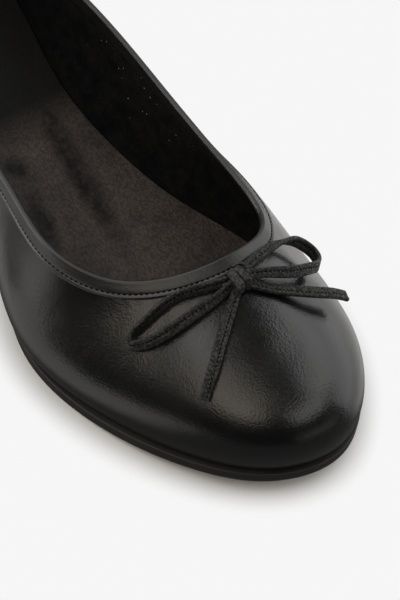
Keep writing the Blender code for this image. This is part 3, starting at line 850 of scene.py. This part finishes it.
def upper_leather():
    """Smooth calf: a fine grain, opened into pebbles on top of the vamp."""
    look = Look("upper_leather", 0.25, IOR=1.5)
    warped = look.warped(2.5 * MM, 0.9 * MM)
    height = look.grain(look.cells(0.62 * MM, warped), 0.28 * MM, 0.5)
    opened = look.soft_region((11 * MM, -92 * MM, 37 * MM), (24 * MM, 20 * MM, 20 * MM))
    wrinkles = look.cells(0.80 * MM, look.turned(warped, 30, 0.8))
    normal = look.bump(look.noise(11 * MM, 2.0, 0.45), 0.20 * MM)
    normal = look.bump(look.math("MULTIPLY", wrinkles, opened), 0.032 * MM, normal)
    patches = look.noise(22 * MM, 3.0, 0.55)
    return look.drive(
        Normal=look.bump(height, 0.046 * MM, normal),
        Roughness=look.remap(patches, 0.3, 0.7, 0.22, 0.29),
        Base_Color=look.blend(patches, 0.0022, (0.0034, 0.0033, 0.0031)),
    )


def binding_leather():
    """The same calf, thinner and drawn tight, with faint cross wrinkles."""
    look = Look("binding_leather", 0.36, IOR=1.5)
    height = look.grain(look.cells(0.5 * MM), 0.25 * MM, 0.6)
    wrinkles = look.noise(0.8 * MM, at=look.turned(look.place, -40, 0.3))
    tone = look.noise(9 * MM, 3.0)
    return look.drive(
        Normal=look.bump(height, 0.03 * MM, look.bump(wrinkles, 0.07 * MM)),
        Roughness=look.remap(tone, 0.3, 0.7, 0.32, 0.42),
        Base_Color=look.blend(tone, (0.0050, 0.0050, 0.0052), (0.0080, 0.0078, 0.0074)),
    )


def bow_leather(name, openness):
    """Thin matt leather whose grain stands open, dark between its islands."""
    look = Look(name, 0.55, Specular_IOR_Level=0.38)
    fine = look.math("MULTIPLY", look.noise(0.42 * MM, 3.0, 0.65), 1.2)
    height = look.math("SUBTRACT", fine, look.cells(0.72 * MM))
    wear_and_shade = look.remap(height, 0.10 - 0.2 * (1 - openness), 0.36, 0.0, 1.0)
    normal = look.bump(look.noise(1.8 * MM), 0.20 * MM)
    return look.drive(
        Normal=look.bump(height, 0.24 * MM * openness, normal),
        Roughness=look.remap(height, 0.05, 0.45, 0.80, 0.45),
        Base_Color=look.blend(wear_and_shade, 0.0010, (0.021, 0.020, 0.019)),
    )


def raw_edge():
    """The brown fibrous core at a strip's cut end and along the sole's lowest edge."""
    look = Look("raw_edge", 0.85)
    fibres = look.noise(0.3 * MM, 3.0, 0.7)
    return look.drive(
        Normal=look.bump(fibres, 0.05 * MM),
        Base_Color=look.blend(fibres, (0.018, 0.010, 0.007), (0.060, 0.030, 0.020)),
    )


def lining_suede():
    """Near-black suede, with a little pale lint caught on the medial wall."""
    look = Look("lining_suede", 0.95, Specular_IOR_Level=0.1)
    nap = look.noise(0.5 * MM, 4.0, 0.7)
    brushed = look.remap(look.noise(5 * MM, 4.0, 0.65), 0.35, 0.65, 0.0, 1.0)
    brushed = look.math("MULTIPLY", brushed, look.remap(nap, 0.40, 0.62, 0.3, 1.5))
    dark = look.blend(brushed, (0.0022, 0.0022, 0.0023), (0.0090, 0.0088, 0.0086))
    near = look.soft_region((31 * MM, 2 * MM, 30 * MM), (14 * MM, 34 * MM, 18 * MM))
    specks = look.cells(3.2 * MM, feature="F1", randomness=1.0)
    lint = look.remap(specks, 0.085, 0.06, 0.0, 1.0)
    lint = look.math("MULTIPLY", lint, look.remap(near, 0.1, 0.5, 0.0, 1.0))
    return look.drive(
        Normal=look.bump(nap, 0.16 * MM), Base_Color=look.blend(lint, dark, (0.22, 0.19, 0.15))
    )


def sock_leather():
    """Dark brown pebbled leather, blackened and smoothed in patches, with painted shade along its
    trough, beside the lateral wall and towards the heel.
    """
    look = Look("sock_leather", 0.7, Specular_IOR_Level=0.12)
    pebbles = look.cells(0.62 * MM, look.turned(look.warped(3 * MM, 1.2 * MM), 35, 0.62))
    height = look.grain(pebbles, 0.30 * MM, 0.6)
    patches = look.noise(15 * MM, 3.0, 0.6)
    mottle = look.remap(look.noise(3.5 * MM, 4.0, 0.65), 0.35, 0.6, 0.62, 1.0)
    creased = look.remap(pebbles, 0.15, 0.6, 0.0, 1.0)
    brown = look.blend(creased, (0.072, 0.059, 0.052), (0.036, 0.029, 0.025))
    wear_and_shade = look.remap(patches, 0.38, 0.60, 0.45, 0.0)
    # The marks paint shade along the trough and beside the lateral wall, over the worn patches
    for mark in INSOLE_SHADE_MARKS:
        wear_and_shade = look.math("MAXIMUM", wear_and_shade, look.math("MULTIPLY", look.mark_share(mark), mottle))
    # Painted shade of the heel's walls: black towards the heel
    y = look.add("SeparateXYZ", {"Vector": look.place}).outputs["Y"]
    heel_shade = look.remap(y, HEEL_SHADE_FROM, HEEL_SHADE_TO, 0.0, 1.0)
    wear_and_shade = look.math("MAXIMUM", wear_and_shade, heel_shade)
    return look.drive(
        Normal=look.bump(height, 0.16 * MM, look.bump(look.noise(6 * MM), 0.18 * MM)),
        Roughness=look.remap(patches, 0.35, 0.65, 0.60, 0.75),
        Base_Color=look.blend(wear_and_shade, brown, (0.0060, 0.0055, 0.0052)),
    )


def sole_rubber():
    """The sole's cut and inked edge, matt with fine pits."""
    look = Look("sole_rubber", 0.62)
    scuffs = look.noise(6 * MM, 4.0, 0.65)
    return look.drive(
        Normal=look.bump(look.noise(0.35 * MM, 4.0, 0.7), 0.08 * MM),
        Roughness=look.remap(scuffs, 0.3, 0.7, 0.55, 0.72),
        Base_Color=look.blend(scuffs, (0.0055, 0.0052, 0.0050), (0.0125, 0.0118, 0.0112)),
    )


def thread():
    """Waxed black thread."""
    look = Look("thread", 0.9, Specular_IOR_Level=0.06)
    twist = look.noise(0.15 * MM)
    return look.drive(
        Normal=look.bump(twist, 0.04 * MM),
        Base_Color=look.blend(twist, 0.0010, 0.0024),
    )


# Pieces

def make_upper(leather, suede):
    """The leather shell, rolled under at its foot, and the suede lining glued inside it."""
    rises = np.concatenate([np.linspace(0, 0.06, 14)[:-1], np.linspace(0.06, 1, 84)])
    wall = Wall(EVEN_TURNS, rises)
    # The dents fade out at the topline and the foot; below the binding the leather puckers
    fade = np.clip(wall.from_top / DENT_FADE_TOP, 0, 1)
    fade = fade * np.clip(wall.from_foot / DENT_FADE_FOOT, 0, 1)
    topline = opening(opening_turn(EVEN_TURNS))
    arc = np.cumsum(np.linalg.norm(topline - np.roll(topline, 1, axis=0), axis=1))
    past_binding = wall.from_top - BINDING_OUTER_LEG
    pull = np.clip(past_binding / (1 * MM), 0, 1)
    pull = pull * np.exp(-np.clip(past_binding, 0, None) / PUCKER_REACH)
    wander = 0.8 * np.sin(arc / (9 * MM)) + 0.5 * np.sin(arc / (23 * MM) + 1.0)
    pucker = np.sin(2 * pi * arc / PUCKER_PITCH + 2 * wander)
    pucker = pucker * (0.6 + 0.4 * np.sin(arc / (17 * MM)))
    pushed = relief(wall.outer, UPPER_DENTS) * fade + PUCKER_DEPTH * pull * pucker
    level = flat_normal(outline, EVEN_TURNS)
    unevenness = 1 + 0.16 * np.sin(9 * EVEN_TURNS + 1) + 0.12 * np.sin(23 * EVEN_TURNS)
    radius = TUCK_RADIUS * unevenness
    inside_tuck = np.clip(1 - wall.from_foot / radius, 0, 1)
    tuck = level[None] * (radius * (1 - np.sqrt(1 - inside_tuck ** 2)))[:, :, None]
    outer = wall.outer - wall.direction * pushed[:, :, None] - tuck
    inner = wall.outer - wall.direction * (wall.thickness * LINING_FROM) - tuck
    shell = closed_band("upper_shell", [*outer, *inner[::-1]], [leather])
    place(shell, "upper_leather", "upper")
    lined = wall.outer - wall.direction * (wall.thickness * LINING_FROM + SEAM_GAP)
    faced = wall.outer - wall.direction * wall.thickness
    lining = closed_band("upper_lining", [*lined, *faced[::-1]], [suede])
    place(lining, "upper_leather", "upper")


def make_binding(leather, sewing):
    """The folded strip along the topline, its turned lower edge standing up past the seam."""
    turns = np.arange(BINDING_TURNS) * 2 * pi / BINDING_TURNS
    shares = np.concatenate([np.linspace(1.0, 0.6, 22), np.linspace(0.6, 0.08, 10)[1:]])
    proud = np.clip(natural_cubic(*zip(*BINDING_FACE), shares), 0, None) * BINDING_THICKNESS
    loops = [on_wall(turns, share * BINDING_OUTER_LEG, up) for share, up in zip(shares, proud)]
    ones = np.ones(BINDING_TURNS)
    normal = wall_normal(turns, ones)
    around = wall_point(turns + NUDGE, ones) - wall_point(turns - NUDGE, ones)
    upward = unit(np.cross(around, normal))
    middle = wall_point(turns, ones) - normal * TOPLINE_WALL / 2
    half = TOPLINE_WALL / 2 + BINDING_THICKNESS
    for step in range(1, BINDING_FOLD_STEPS):
        angle = pi * step / BINDING_FOLD_STEPS
        rise = BINDING_FOLD_HEIGHT * upward * sin(angle)
        loops.append(middle + half * (normal * cos(angle) + rise))
    inner_shares = np.concatenate([np.linspace(0.1, 0.9, 8), [0.95, 0.985, 1.0]])
    inner_heights = np.concatenate([np.full(8, 1.0), [0.9, 0.6, 0.05]])
    for share, height in zip(inner_shares, inner_heights):
        below = share * BINDING_INNER_LEG
        thickness = UPPER_WALL + (TOPLINE_WALL - UPPER_WALL) * (1 - below / SKIVE_LENGTH)
        loops.append(on_wall(turns, below, -thickness - height * BINDING_THICKNESS))
    for leg, share, depth in (
        (BINDING_INNER_LEG, 0.95, TOPLINE_WALL - BINDING_SUNK),
        (BINDING_INNER_LEG, 0.30, TOPLINE_WALL - BINDING_SUNK),
        (BINDING_OUTER_LEG, 0.30, BINDING_SUNK), (BINDING_OUTER_LEG, 0.98, BINDING_SUNK),
    ):
        loops.append(on_wall(turns, leg * share, -depth))
    binding = closed_band("topline_binding_fold", loops, [leather], sharp_angle=70)
    place(binding, "binding_leather", "topline_binding")
    rise = rise_below_top(turns, BINDING_STITCH_FROM_TOP * BINDING_OUTER_LEG)
    direction = wall_direction(turns, rise)
    line = wall_point(turns, rise) + direction * BINDING_STITCH_PROUD * BINDING_THICKNESS
    line, direction = (np.concatenate([rows, rows[:1]]) for rows in (line, direction))
    row = row_of_stitches(line, direction, BINDING_STITCH_PITCH)
    place(stitches("topline_stitches", *row, BINDING_STITCH, [sewing]), "binding_leather")


def make_outsole(rubber, fibre):
    foot = quarter_round(SOLE_BOTTOM_ROUND, 5)
    loops = [inset_outline(EVEN_TURNS, drawn_in, lift) for drawn_in, lift in foot]
    for lift in (SOLE_BOTTOM_ROUND + SOLE_FIBRE_LINE, 0.35 * SOLE_THICKNESS, 0.6 * SOLE_THICKNESS):
        loops.append(inset_outline(EVEN_TURNS, 0.03 * MM, lift))
    for lower, drawn_in in quarter_round(SOLE_TOP_ROUND, 4):
        loops.append(inset_outline(EVEN_TURNS, drawn_in, SOLE_THICKNESS - lower))
    ring_materials = [0] * (len(loops) - 1)
    ring_materials[len(foot) - 1] = 1
    heights = (
        lambda points: underside(points[..., 1]),
        lambda points: underside(points[..., 1]) + SOLE_THICKNESS,
    )
    sole = slab("outsole_cut", loops, heights, [rubber, fibre], ring_materials)
    place(sole, "sole_rubber", "outsole")


def make_insole(sock):
    inset = SOLE_RIM + UPPER_WALL + SEAM_GAP
    base = SOLE_THICKNESS + FIT
    top = base + INSOLE_THICKNESS
    loops = [inset_outline(EVEN_TURNS, inset, base)]
    for lower, drawn_in in quarter_round(INSOLE_EDGE_ROUND, 5):
        loops.append(inset_outline(EVEN_TURNS, inset + drawn_in, top - lower))
    for step in (1, 2, 3):
        drawn_in = inset + INSOLE_EDGE_ROUND + step * INSOLE_RING_STEP
        ring = inset_outline(EVEN_TURNS, drawn_in, top)
        ring[:, 2] -= relief(ring, INSOLE_DENTS)
        loops.append(ring)
    heights = (
        lambda points: underside(points[..., 1]) + base,
        lambda points: underside(points[..., 1]) + top - relief(points, INSOLE_DENTS),
    )
    piece = slab("insole_sock", loops, heights, [sock], [0] * (len(loops) - 1))
    place(piece, "sock_leather", "insole")


def make_heel(rubber):
    """The low block: the sole's outline behind a hollowed breast, its foot slightly rounded."""
    side_steps = 60
    breast_steps = 24
    breast = SOLE_LENGTH / 2 - HEEL_BLOCK_LENGTH
    reach = float(turn_of(HEEL_BLOCK_LENGTH / SOLE_LENGTH))
    turns = np.linspace(-reach, reach, 2 * side_steps + 1)
    steps = np.linspace(0, 1, breast_steps + 1)[1:-1, None]

    def ring(inset, hollow):
        line = inset_outline(turns, inset, 0.0)
        line[[0, -1], 1] = breast + hollow
        front = line[-1] * (1 - steps) + line[0] * steps
        front[:, 1] += HEEL_BREAST_HOLLOW * 4 * (steps * (1 - steps))[:, 0]
        return np.concatenate([line, front])

    wide = HEEL_BLOCK_INSET
    foot = HEEL_BLOCK_INSET + HEEL_BLOCK_TAPER
    rings = []
    for drawn_in, lift in quarter_round(HEEL_FOOT_ROUND, 4):
        row = ring(foot + drawn_in, drawn_in)
        row[:, 2] = lift
        rings.append(row)
    for share in (0.2, 0.4, 0.6, 0.8, 1.0):
        row = ring(foot + (wide - foot) * share, 0.0)
        row[:, 2] = HEEL_FOOT_ROUND + (row[:, 2] - SEAM_GAP - HEEL_FOOT_ROUND) * share
        rings.append(row)
    count = len(rings[0])
    faces = ring_faces(len(rings), count).tolist()
    faces.append(list(range(count)))
    faces.append(list(range((len(rings) - 1) * count, len(rings) * count)))
    place(add_mesh("heel_block", np.concatenate(rings), faces, [rubber]), "sole_rubber", "heel")


class Vamp:
    """The top of the shoe that the bow lies on, in design coordinates."""

    def __init__(self):
        self.trees = []
        for name in ("upper", "topline_binding"):
            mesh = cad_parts[name].data
            verts = [vertex.co for vertex in mesh.vertices]
            faces = [tuple(face.vertices) for face in mesh.polygons]
            self.trees.append(BVHTree.FromPolygons(verts, faces))

    def height(self, x, y):
        start = Vector((x + SHIFT[0], y, 2 * COLLAR_HEIGHT))
        hits = [tree.ray_cast(start, Vector((0, 0, -1)))[0] for tree in self.trees]
        return max([hit.z for hit in hits if hit is not None] + [THROAT_HEIGHT / 2])


def knot_centre():
    low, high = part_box("bow_knot")
    return np.array((low + high) / 2) - SHIFT


def knot_exit(centre, exit_row):
    """Where a strip starts, tucked into the knot's side."""
    angle = radians(exit_row.angle)
    across = abs(cos(angle)) / (KNOT_WIDTH / 2)
    ahead = abs(sin(angle)) / (KNOT_LENGTH / 2)
    radius = (across ** KNOT_SQUARENESS + ahead ** KNOT_SQUARENESS) ** (-1 / KNOT_SQUARENESS)
    radius -= STRIP_TUCKED_IN
    return centre + np.array([
        radius * cos(angle), -radius * sin(angle), exit_row.level * KNOT_HEIGHT
    ])


def strip_line(vamp, centre, strip):
    """A strip's middle line with its roll and width: x, y, z, roll, width in each row."""
    start = knot_exit(centre, strip.start)
    rows = [[*start, strip.start.roll, strip.start.width]]
    for row in strip.rows:
        x = centre[0] + row.across * strip.length
        y = centre[1] - row.ahead * strip.length
        rows.append([x, y, vamp.height(x, y) + row.lift * STRIP_WIDTH, row.roll, row.width])
    if strip.end is not None:
        finish = knot_exit(centre, strip.end)
        rows.append([*finish, strip.end.roll, strip.end.width])
    return smooth_line(rows, STRIP_SECTIONS)


def strip_frame(line):
    """Unit vectors across and through a strip along its line."""
    ahead = unit(np.gradient(line[:, :3], axis=0))
    level = unit(np.cross(ahead, [0.0, 0.0, 1.0]))
    roll = np.radians(line[:, 3])[:, None]
    wide = np.cross(level, ahead) * np.cos(roll) + level * np.sin(roll)
    return wide, np.cross(wide, ahead)


def make_strip(vamp, centre, strip, leather, edge, sewing):
    """A doubled strip with a stitched seam on both faces."""
    line = strip_line(vamp, centre, strip)
    wide, thick = strip_frame(line)
    face = [(across * strip.seam, height) for across, height in STRIP_FACE]
    section = face + [(across, -height) for across, height in reversed(face[1:-1])]
    half_width = line[:, 4:5] * STRIP_FACE_WIDTH / 2
    sizes = (half_width, STRIP_THICKNESS / 2)
    body = sweep(strip.name + "_strip", line[:, :3], wide, thick, section, [leather, edge], sizes)
    place(body, "bow_leather", strip.name)
    parts = []
    for side in (1, -1):
        seam = line[:, :3] + wide * half_width * STRIP_STITCH_ACROSS * strip.seam
        seam = seam + side * thick * STRIP_THICKNESS / 2 * STRIP_STITCH_PROUD
        parts.append(row_of_stitches(seam, side * thick, STRIP_STITCH_PITCH, STRIP_STITCH_END))
    rows = (np.concatenate(values) for values in zip(*parts))
    place(stitches(strip.name + "_stitches", *rows, STRIP_STITCH, [sewing]), "bow_leather")


# The knot's wraps pass over its core from the heel side to the toe side: their place across the
# knot at both ends, their width and how far they stand over the core, in mm, and their tilt
WRAPS = table(
    "name back front width rise tilt",
    ("bow_knot_wrap_wide", -1.75, -1.95, 2.9, 0.25, 6.0),
    ("bow_knot_wrap_raised", 0.45, 0.60, 1.9, 0.75, -16.0),
)
# Folds of the strap that stand beside the wraps: their width and thickness, and the places that
# they pass through, across, towards the heel and up from the knot's middle, all in mm
FOLDS = table(
    "name width thickness across back up",
    (
        "bow_knot_fold_inner", 1.5, 0.8,
        (0.7, 1.9, 3.0, 3.1, 2.2),
        (4.0, 3.6, 2.8, 1.2, -0.6),
        (0.6, 1.5, 1.7, 1.6, 1.0),
    ),
    (
        "bow_knot_fold_outer", 1.4, 0.8,
        (3.3, 4.0, 3.6, 2.3),
        (3.0, 1.9, -0.2, -1.9),
        (0.6, 1.0, 0.9, 0.3),
    ),
    (
        "bow_knot_fold_lateral", 1.3, 1.0,
        (-4.2, -3.4, -2.2), (2.6, 2.2, 1.5),
        (0.2, 0.6, 0.4),
    ),
    (
        "bow_knot_fold_low", 1.3, 1.0,
        (-4.9, -4.1, -2.9), (1.0, 0.6, -0.1),
        (-0.5, -0.1, -0.2),
    ),
)
WRAP_SQUARENESS = 3.6
WRAP_THICKNESS = 0.95 * MM
WRAP_REACH_SHARE = 0.95
WRAP_CLIMB_SHARE = 0.84
KNOT_CORE_SHARE = 0.9
WRAP_POINTS = 90
FOLD_POINTS = 48


def make_knot(centre, leather):
    """A core pad under strips that are wrapped over it."""
    rings, sides = 24, 48
    half = np.array([KNOT_WIDTH, KNOT_LENGTH, KNOT_HEIGHT]) / 2 * KNOT_CORE_SHARE
    power = lambda value: np.sign(value) * np.abs(value) ** (2 / KNOT_SQUARENESS)
    angles = np.arange(sides) * 2 * pi / sides
    verts = [centre - half * np.array([0, 0, 1])]
    for ring in range(1, rings):
        climb = -pi / 2 + pi * ring / rings
        for angle in angles:
            unit = np.array([
                power(cos(climb)) * power(cos(angle)),
                power(cos(climb)) * power(sin(angle)),
                power(sin(climb)),
            ])
            verts.append(centre + half * unit)
    verts.append(centre + half * np.array([0, 0, 1]))
    faces = ring_faces(rings - 1, sides, base=1).tolist()
    top = len(verts) - 1
    for side in range(sides):
        after = (side + 1) % sides
        faces.append([0, 1 + after, 1 + side])
        faces.append([top, top - sides + side, top - sides + after])
    place(add_mesh("bow_knot_core", verts, faces, [leather]), "bow_leather", "bow_knot")
    for wrap in WRAPS:
        make_wrap(centre, wrap, leather)
    for fold in FOLDS:
        points = np.column_stack([fold.across, fold.back, fold.up]) * MM
        middle = centre + smooth_line(points, FOLD_POINTS)
        upright = np.array([0.0, 0.0, 1.0])
        make_pad(fold.name, middle, upright, fold.width * MM, fold.thickness * MM, leather)


def make_pad(name, middle, upright, width, thickness, leather, tilt=0.0):
    """A flat strap with rounded edges along a line, its width held towards upright."""
    sides = 28
    turns = np.arange(sides) * 2 * pi / sides
    across = np.sign(np.cos(turns)) * np.abs(np.cos(turns)) ** 0.5
    through = np.sign(np.sin(turns)) * np.abs(np.sin(turns)) ** 0.6
    ahead = unit(np.gradient(middle, axis=0))
    wide = unit(upright - ahead * (ahead @ upright)[:, None])
    thick = np.cross(wide, ahead)
    wide, thick = wide * cos(tilt) + thick * sin(tilt), thick * cos(tilt) - wide * sin(tilt)
    section = list(zip(across, through))
    sizes = (width / 2, thickness / 2)
    body = sweep(name, middle, wide, thick, section, [leather], sizes, sharp_angle=60)
    place(body, "bow_leather", "bow_knot")


def make_wrap(centre, wrap, leather):
    back, front, width, rise = (value * MM for value in wrap[1:5])
    angle = np.linspace(radians(-30), radians(210), WRAP_POINTS)
    across = back + (front - back) * (1 - np.cos(np.clip(angle, 0, pi))) / 2
    reach = KNOT_LENGTH / 2 * WRAP_REACH_SHARE
    climb = KNOT_HEIGHT / 2 * WRAP_CLIMB_SHARE + rise * np.clip(np.sin(angle), 0, 1)
    power = 2 / WRAP_SQUARENESS
    y = reach * np.sign(np.cos(angle)) * np.abs(np.cos(angle)) ** power
    z = climb * np.sign(np.sin(angle)) * np.abs(np.sin(angle)) ** power
    middle = centre + smooth_line(np.column_stack([across, y, z])[::3], WRAP_POINTS)
    upright = np.array([1.0, 0.0, 0.0])
    make_pad(wrap.name, middle, upright, width, WRAP_THICKNESS, leather, radians(wrap.tilt))


def make_bow(leather, tied_leather, edge, sewing):
    vamp = Vamp()
    centre = knot_centre()
    make_knot(centre, tied_leather)
    for strip in STRIPS:
        make_strip(vamp, centre, strip, leather, edge, sewing)


# The studio

def add_camera():
    data = bpy.data.cameras.new("camera")
    data.sensor_width = 36
    data.lens = CAMERA_LENS
    data.clip_start = 0.01
    data.clip_end = 50
    camera = bpy.data.objects.new("camera", data)
    right = CAMERA_RIGHT.normalized()
    back = right.cross(CAMERA_UP).normalized()
    up = back.cross(right)
    turn = Matrix((right, up, back)).transposed().to_4x4()
    camera.matrix_world = Matrix.Translation(np.array(CAMERA_PLACE) + SHIFT) @ turn
    bpy.context.scene.collection.objects.link(camera)
    bpy.context.scene.camera = camera


# A softbox hangs round the shoe at an azimuth (0 towards the toe, 90 medial) and an elevation, as
# wide and high as the angles that it fills, and shines with a radiance of its own colour
SOFTBOX_DISTANCE = 1.7
SOFTBOXES = table(
    "name azimuth elevation wide high radiance colour",
    ("key_lateral", 291.0, 51.0, 34.0, 19.0, 2.3, (1.0, 0.88, 0.76)),
    ("key_top", 298.0, 68.0, 26.0, 14.0, 1.3, (1.0, 0.90, 0.80)),
    ("medial_wall", 75.0, 20.0, 60.0, 40.0, 1.85, (1.0, 0.98, 0.98)),
    ("medial_top", 74.0, 56.0, 38.0, 32.0, 2.25, (1.0, 0.99, 0.98)),
    ("front_top", 14.0, 50.0, 34.0, 18.0, 1.9, (1.0, 0.99, 0.93)),
    ("front_low", 10.0, 12.0, 40.0, 16.0, 0.5, (1.0, 0.99, 0.93)),
    ("back_top", 215.0, 62.0, 44.0, 30.0, 2.3, (1.0, 1.0, 1.0)),
    ("back_wall", 225.0, 20.0, 54.0, 36.0, 2.5, (1.0, 0.96, 0.89)),
    ("back_low", 212.0, 9.0, 50.0, 18.0, 2.0, (1.0, 0.97, 0.93)),
    ("back_soft", 145.0, 45.0, 64.0, 44.0, 1.1, (0.92, 0.97, 1.0)),
)
# The floor takes the shoe's shadow close to the sole and glows evenly further away, as a lit sweep
# does; the leather mirrors a second one, seen only in reflections, with a painted shadow beside
# the shoe and painted shade ahead of its toe, and pale further to the sides
FLOOR_REACH = 6.0
FLOOR_ALBEDO = 0.73
FLOOR_GLOW = 0.921
FLOOR_RINGS = (0.0, 1.0, 2.0, 3.0, 4.0, 5.0, 6.0, 7.0, 8.0, 10.0, 12.0, 16.0, 20.0, 26.0, 32.0)
FLOOR_RINGS_INSET_AT_TOE = 0.4
SHADOW_REACH = 10.5 * MM
REFLECTED_ALBEDO = (0.15, 0.92)
REFLECTED_FROM = 6 * MM
REFLECTED_TO = 20 * MM
DARK_AHEAD_FROM = -68 * MM
DARK_AHEAD_TO = -120 * MM
PALE_MEDIALLY = 0.8
REFLECTED_FLOOR_HEIGHT = 0.1 * MM
WORLD_RADIANCE = 0.03
BACKGROUND_RADIANCE = 0.90


def add_softbox(softbox):
    azimuth = radians(softbox.azimuth)
    elevation = radians(softbox.elevation)
    direction = Vector((
        sin(azimuth) * cos(elevation), -cos(azimuth) * cos(elevation), sin(elevation)
    ))
    data = bpy.data.lights.new(softbox.name, "AREA")
    data.shape = "RECTANGLE"
    data.size = 2 * SOFTBOX_DISTANCE * tan(radians(softbox.wide / 2))
    data.size_y = 2 * SOFTBOX_DISTANCE * tan(radians(softbox.high / 2))
    data.energy = softbox.radiance * pi * data.size * data.size_y
    data.color = softbox.colour
    light = bpy.data.objects.new(softbox.name, data)
    light.location = direction * SOFTBOX_DISTANCE
    light.rotation_mode = "QUATERNION"
    light.rotation_quaternion = direction.to_track_quat("Z", "Y")
    light.visible_camera = False
    bpy.context.scene.collection.objects.link(light)


def add_studio():
    for softbox in SOFTBOXES:
        add_softbox(softbox)
    scene = bpy.context.scene
    scene.view_settings.view_transform = "Standard"
    world = bpy.data.worlds.new("studio")
    scene.world = world
    world.use_nodes = True
    nodes = Nodes(world.node_tree)
    background = nodes.tree.nodes["Background"]
    background.inputs["Color"].default_value = (1.0, 1.0, 1.0, 1.0)
    rays = nodes.add("LightPath").outputs["Is Camera Ray"]
    strength = nodes.remap(rays, 0.0, 1.0, WORLD_RADIANCE, BACKGROUND_RADIANCE)
    nodes.tree.links.new(strength, background.inputs["Strength"])
    seen = add_floor("floor", (0.0, SHADOW_REACH), (FLOOR_ALBEDO, 0.0), FLOOR_GLOW)
    seen.visible_glossy = False
    # The mirrored floor's dark colour near the shoe is a painted shadow, its dark ahead of the toe
    # painted shade
    reach = (REFLECTED_FROM, REFLECTED_TO)
    reflected = add_floor("floor_in_reflections", reach, REFLECTED_ALBEDO, dark_ahead=True)
    reflected.visible_camera = False
    reflected.visible_diffuse = False
    reflected.visible_shadow = False
    reflected.location.z = REFLECTED_FLOOR_HEIGHT


def add_floor(name, reach, albedo, glow=0.0, dark_ahead=False):
    """A floor in rings round the sole, its colour and glow changing with the distance from it."""
    look = Look(name, 0.9, Specular_IOR_Level=0.0)
    from_shoe = look.add("Attribute", attribute_name="from_shoe").outputs["Fac"]
    share = look.remap(from_shoe, *reach, 0.0, 1.0, interpolation_type="SMOOTHSTEP")
    look.drive(Base_Color=look.blend(share, *albedo))
    if glow:
        look.drive(Emission_Color=look.blend(share, 0.0, glow))
        look.shader.inputs["Emission Strength"].default_value = 1.0
    turns = EVEN_TURNS[::4]
    count = len(turns)
    edge = outline(turns)[:, 1]
    drawn_in = np.where(edge > 0, 0.0, FLOOR_RINGS_INSET_AT_TOE * underside(edge))
    loops = [inset_outline(turns, drawn_in - ring * MM, 0.0) for ring in FLOOR_RINGS]
    loops.append(FLOOR_REACH * flat_normal(outline, turns))
    verts = np.concatenate(loops) * (1.0, 1.0, 0.0)
    faces = ring_faces(len(loops), count).tolist() + [list(range(count))]
    floor = add_mesh(name, verts, faces, [look.material])
    away = np.repeat(np.append(FLOOR_RINGS, FLOOR_REACH / MM) * MM, count)
    # Painted shade ahead of the toe, paler medially
    if dark_ahead:
        ahead = verts[:, 1] + PALE_MEDIALLY * np.clip(verts[:, 0], 0.0, None)
        away *= np.interp(ahead, [DARK_AHEAD_TO, DARK_AHEAD_FROM], [0.0, 1.0])
    floor.data.attributes.new("from_shoe", "FLOAT", "POINT").data.foreach_set("value", away)
    return floor


def main():
    add_camera()
    add_studio()
    edge = raw_edge()
    rubber = sole_rubber()
    sewing = thread()
    make_upper(upper_leather(), lining_suede())
    make_binding(binding_leather(), sewing)
    make_outsole(rubber, edge)
    make_heel(rubber)
    make_insole(sock_leather())
    ribbon = bow_leather("bow_leather", 1.0)
    tied = bow_leather("knot_leather", 0.35)
    make_bow(ribbon, tied, edge, sewing)


main()
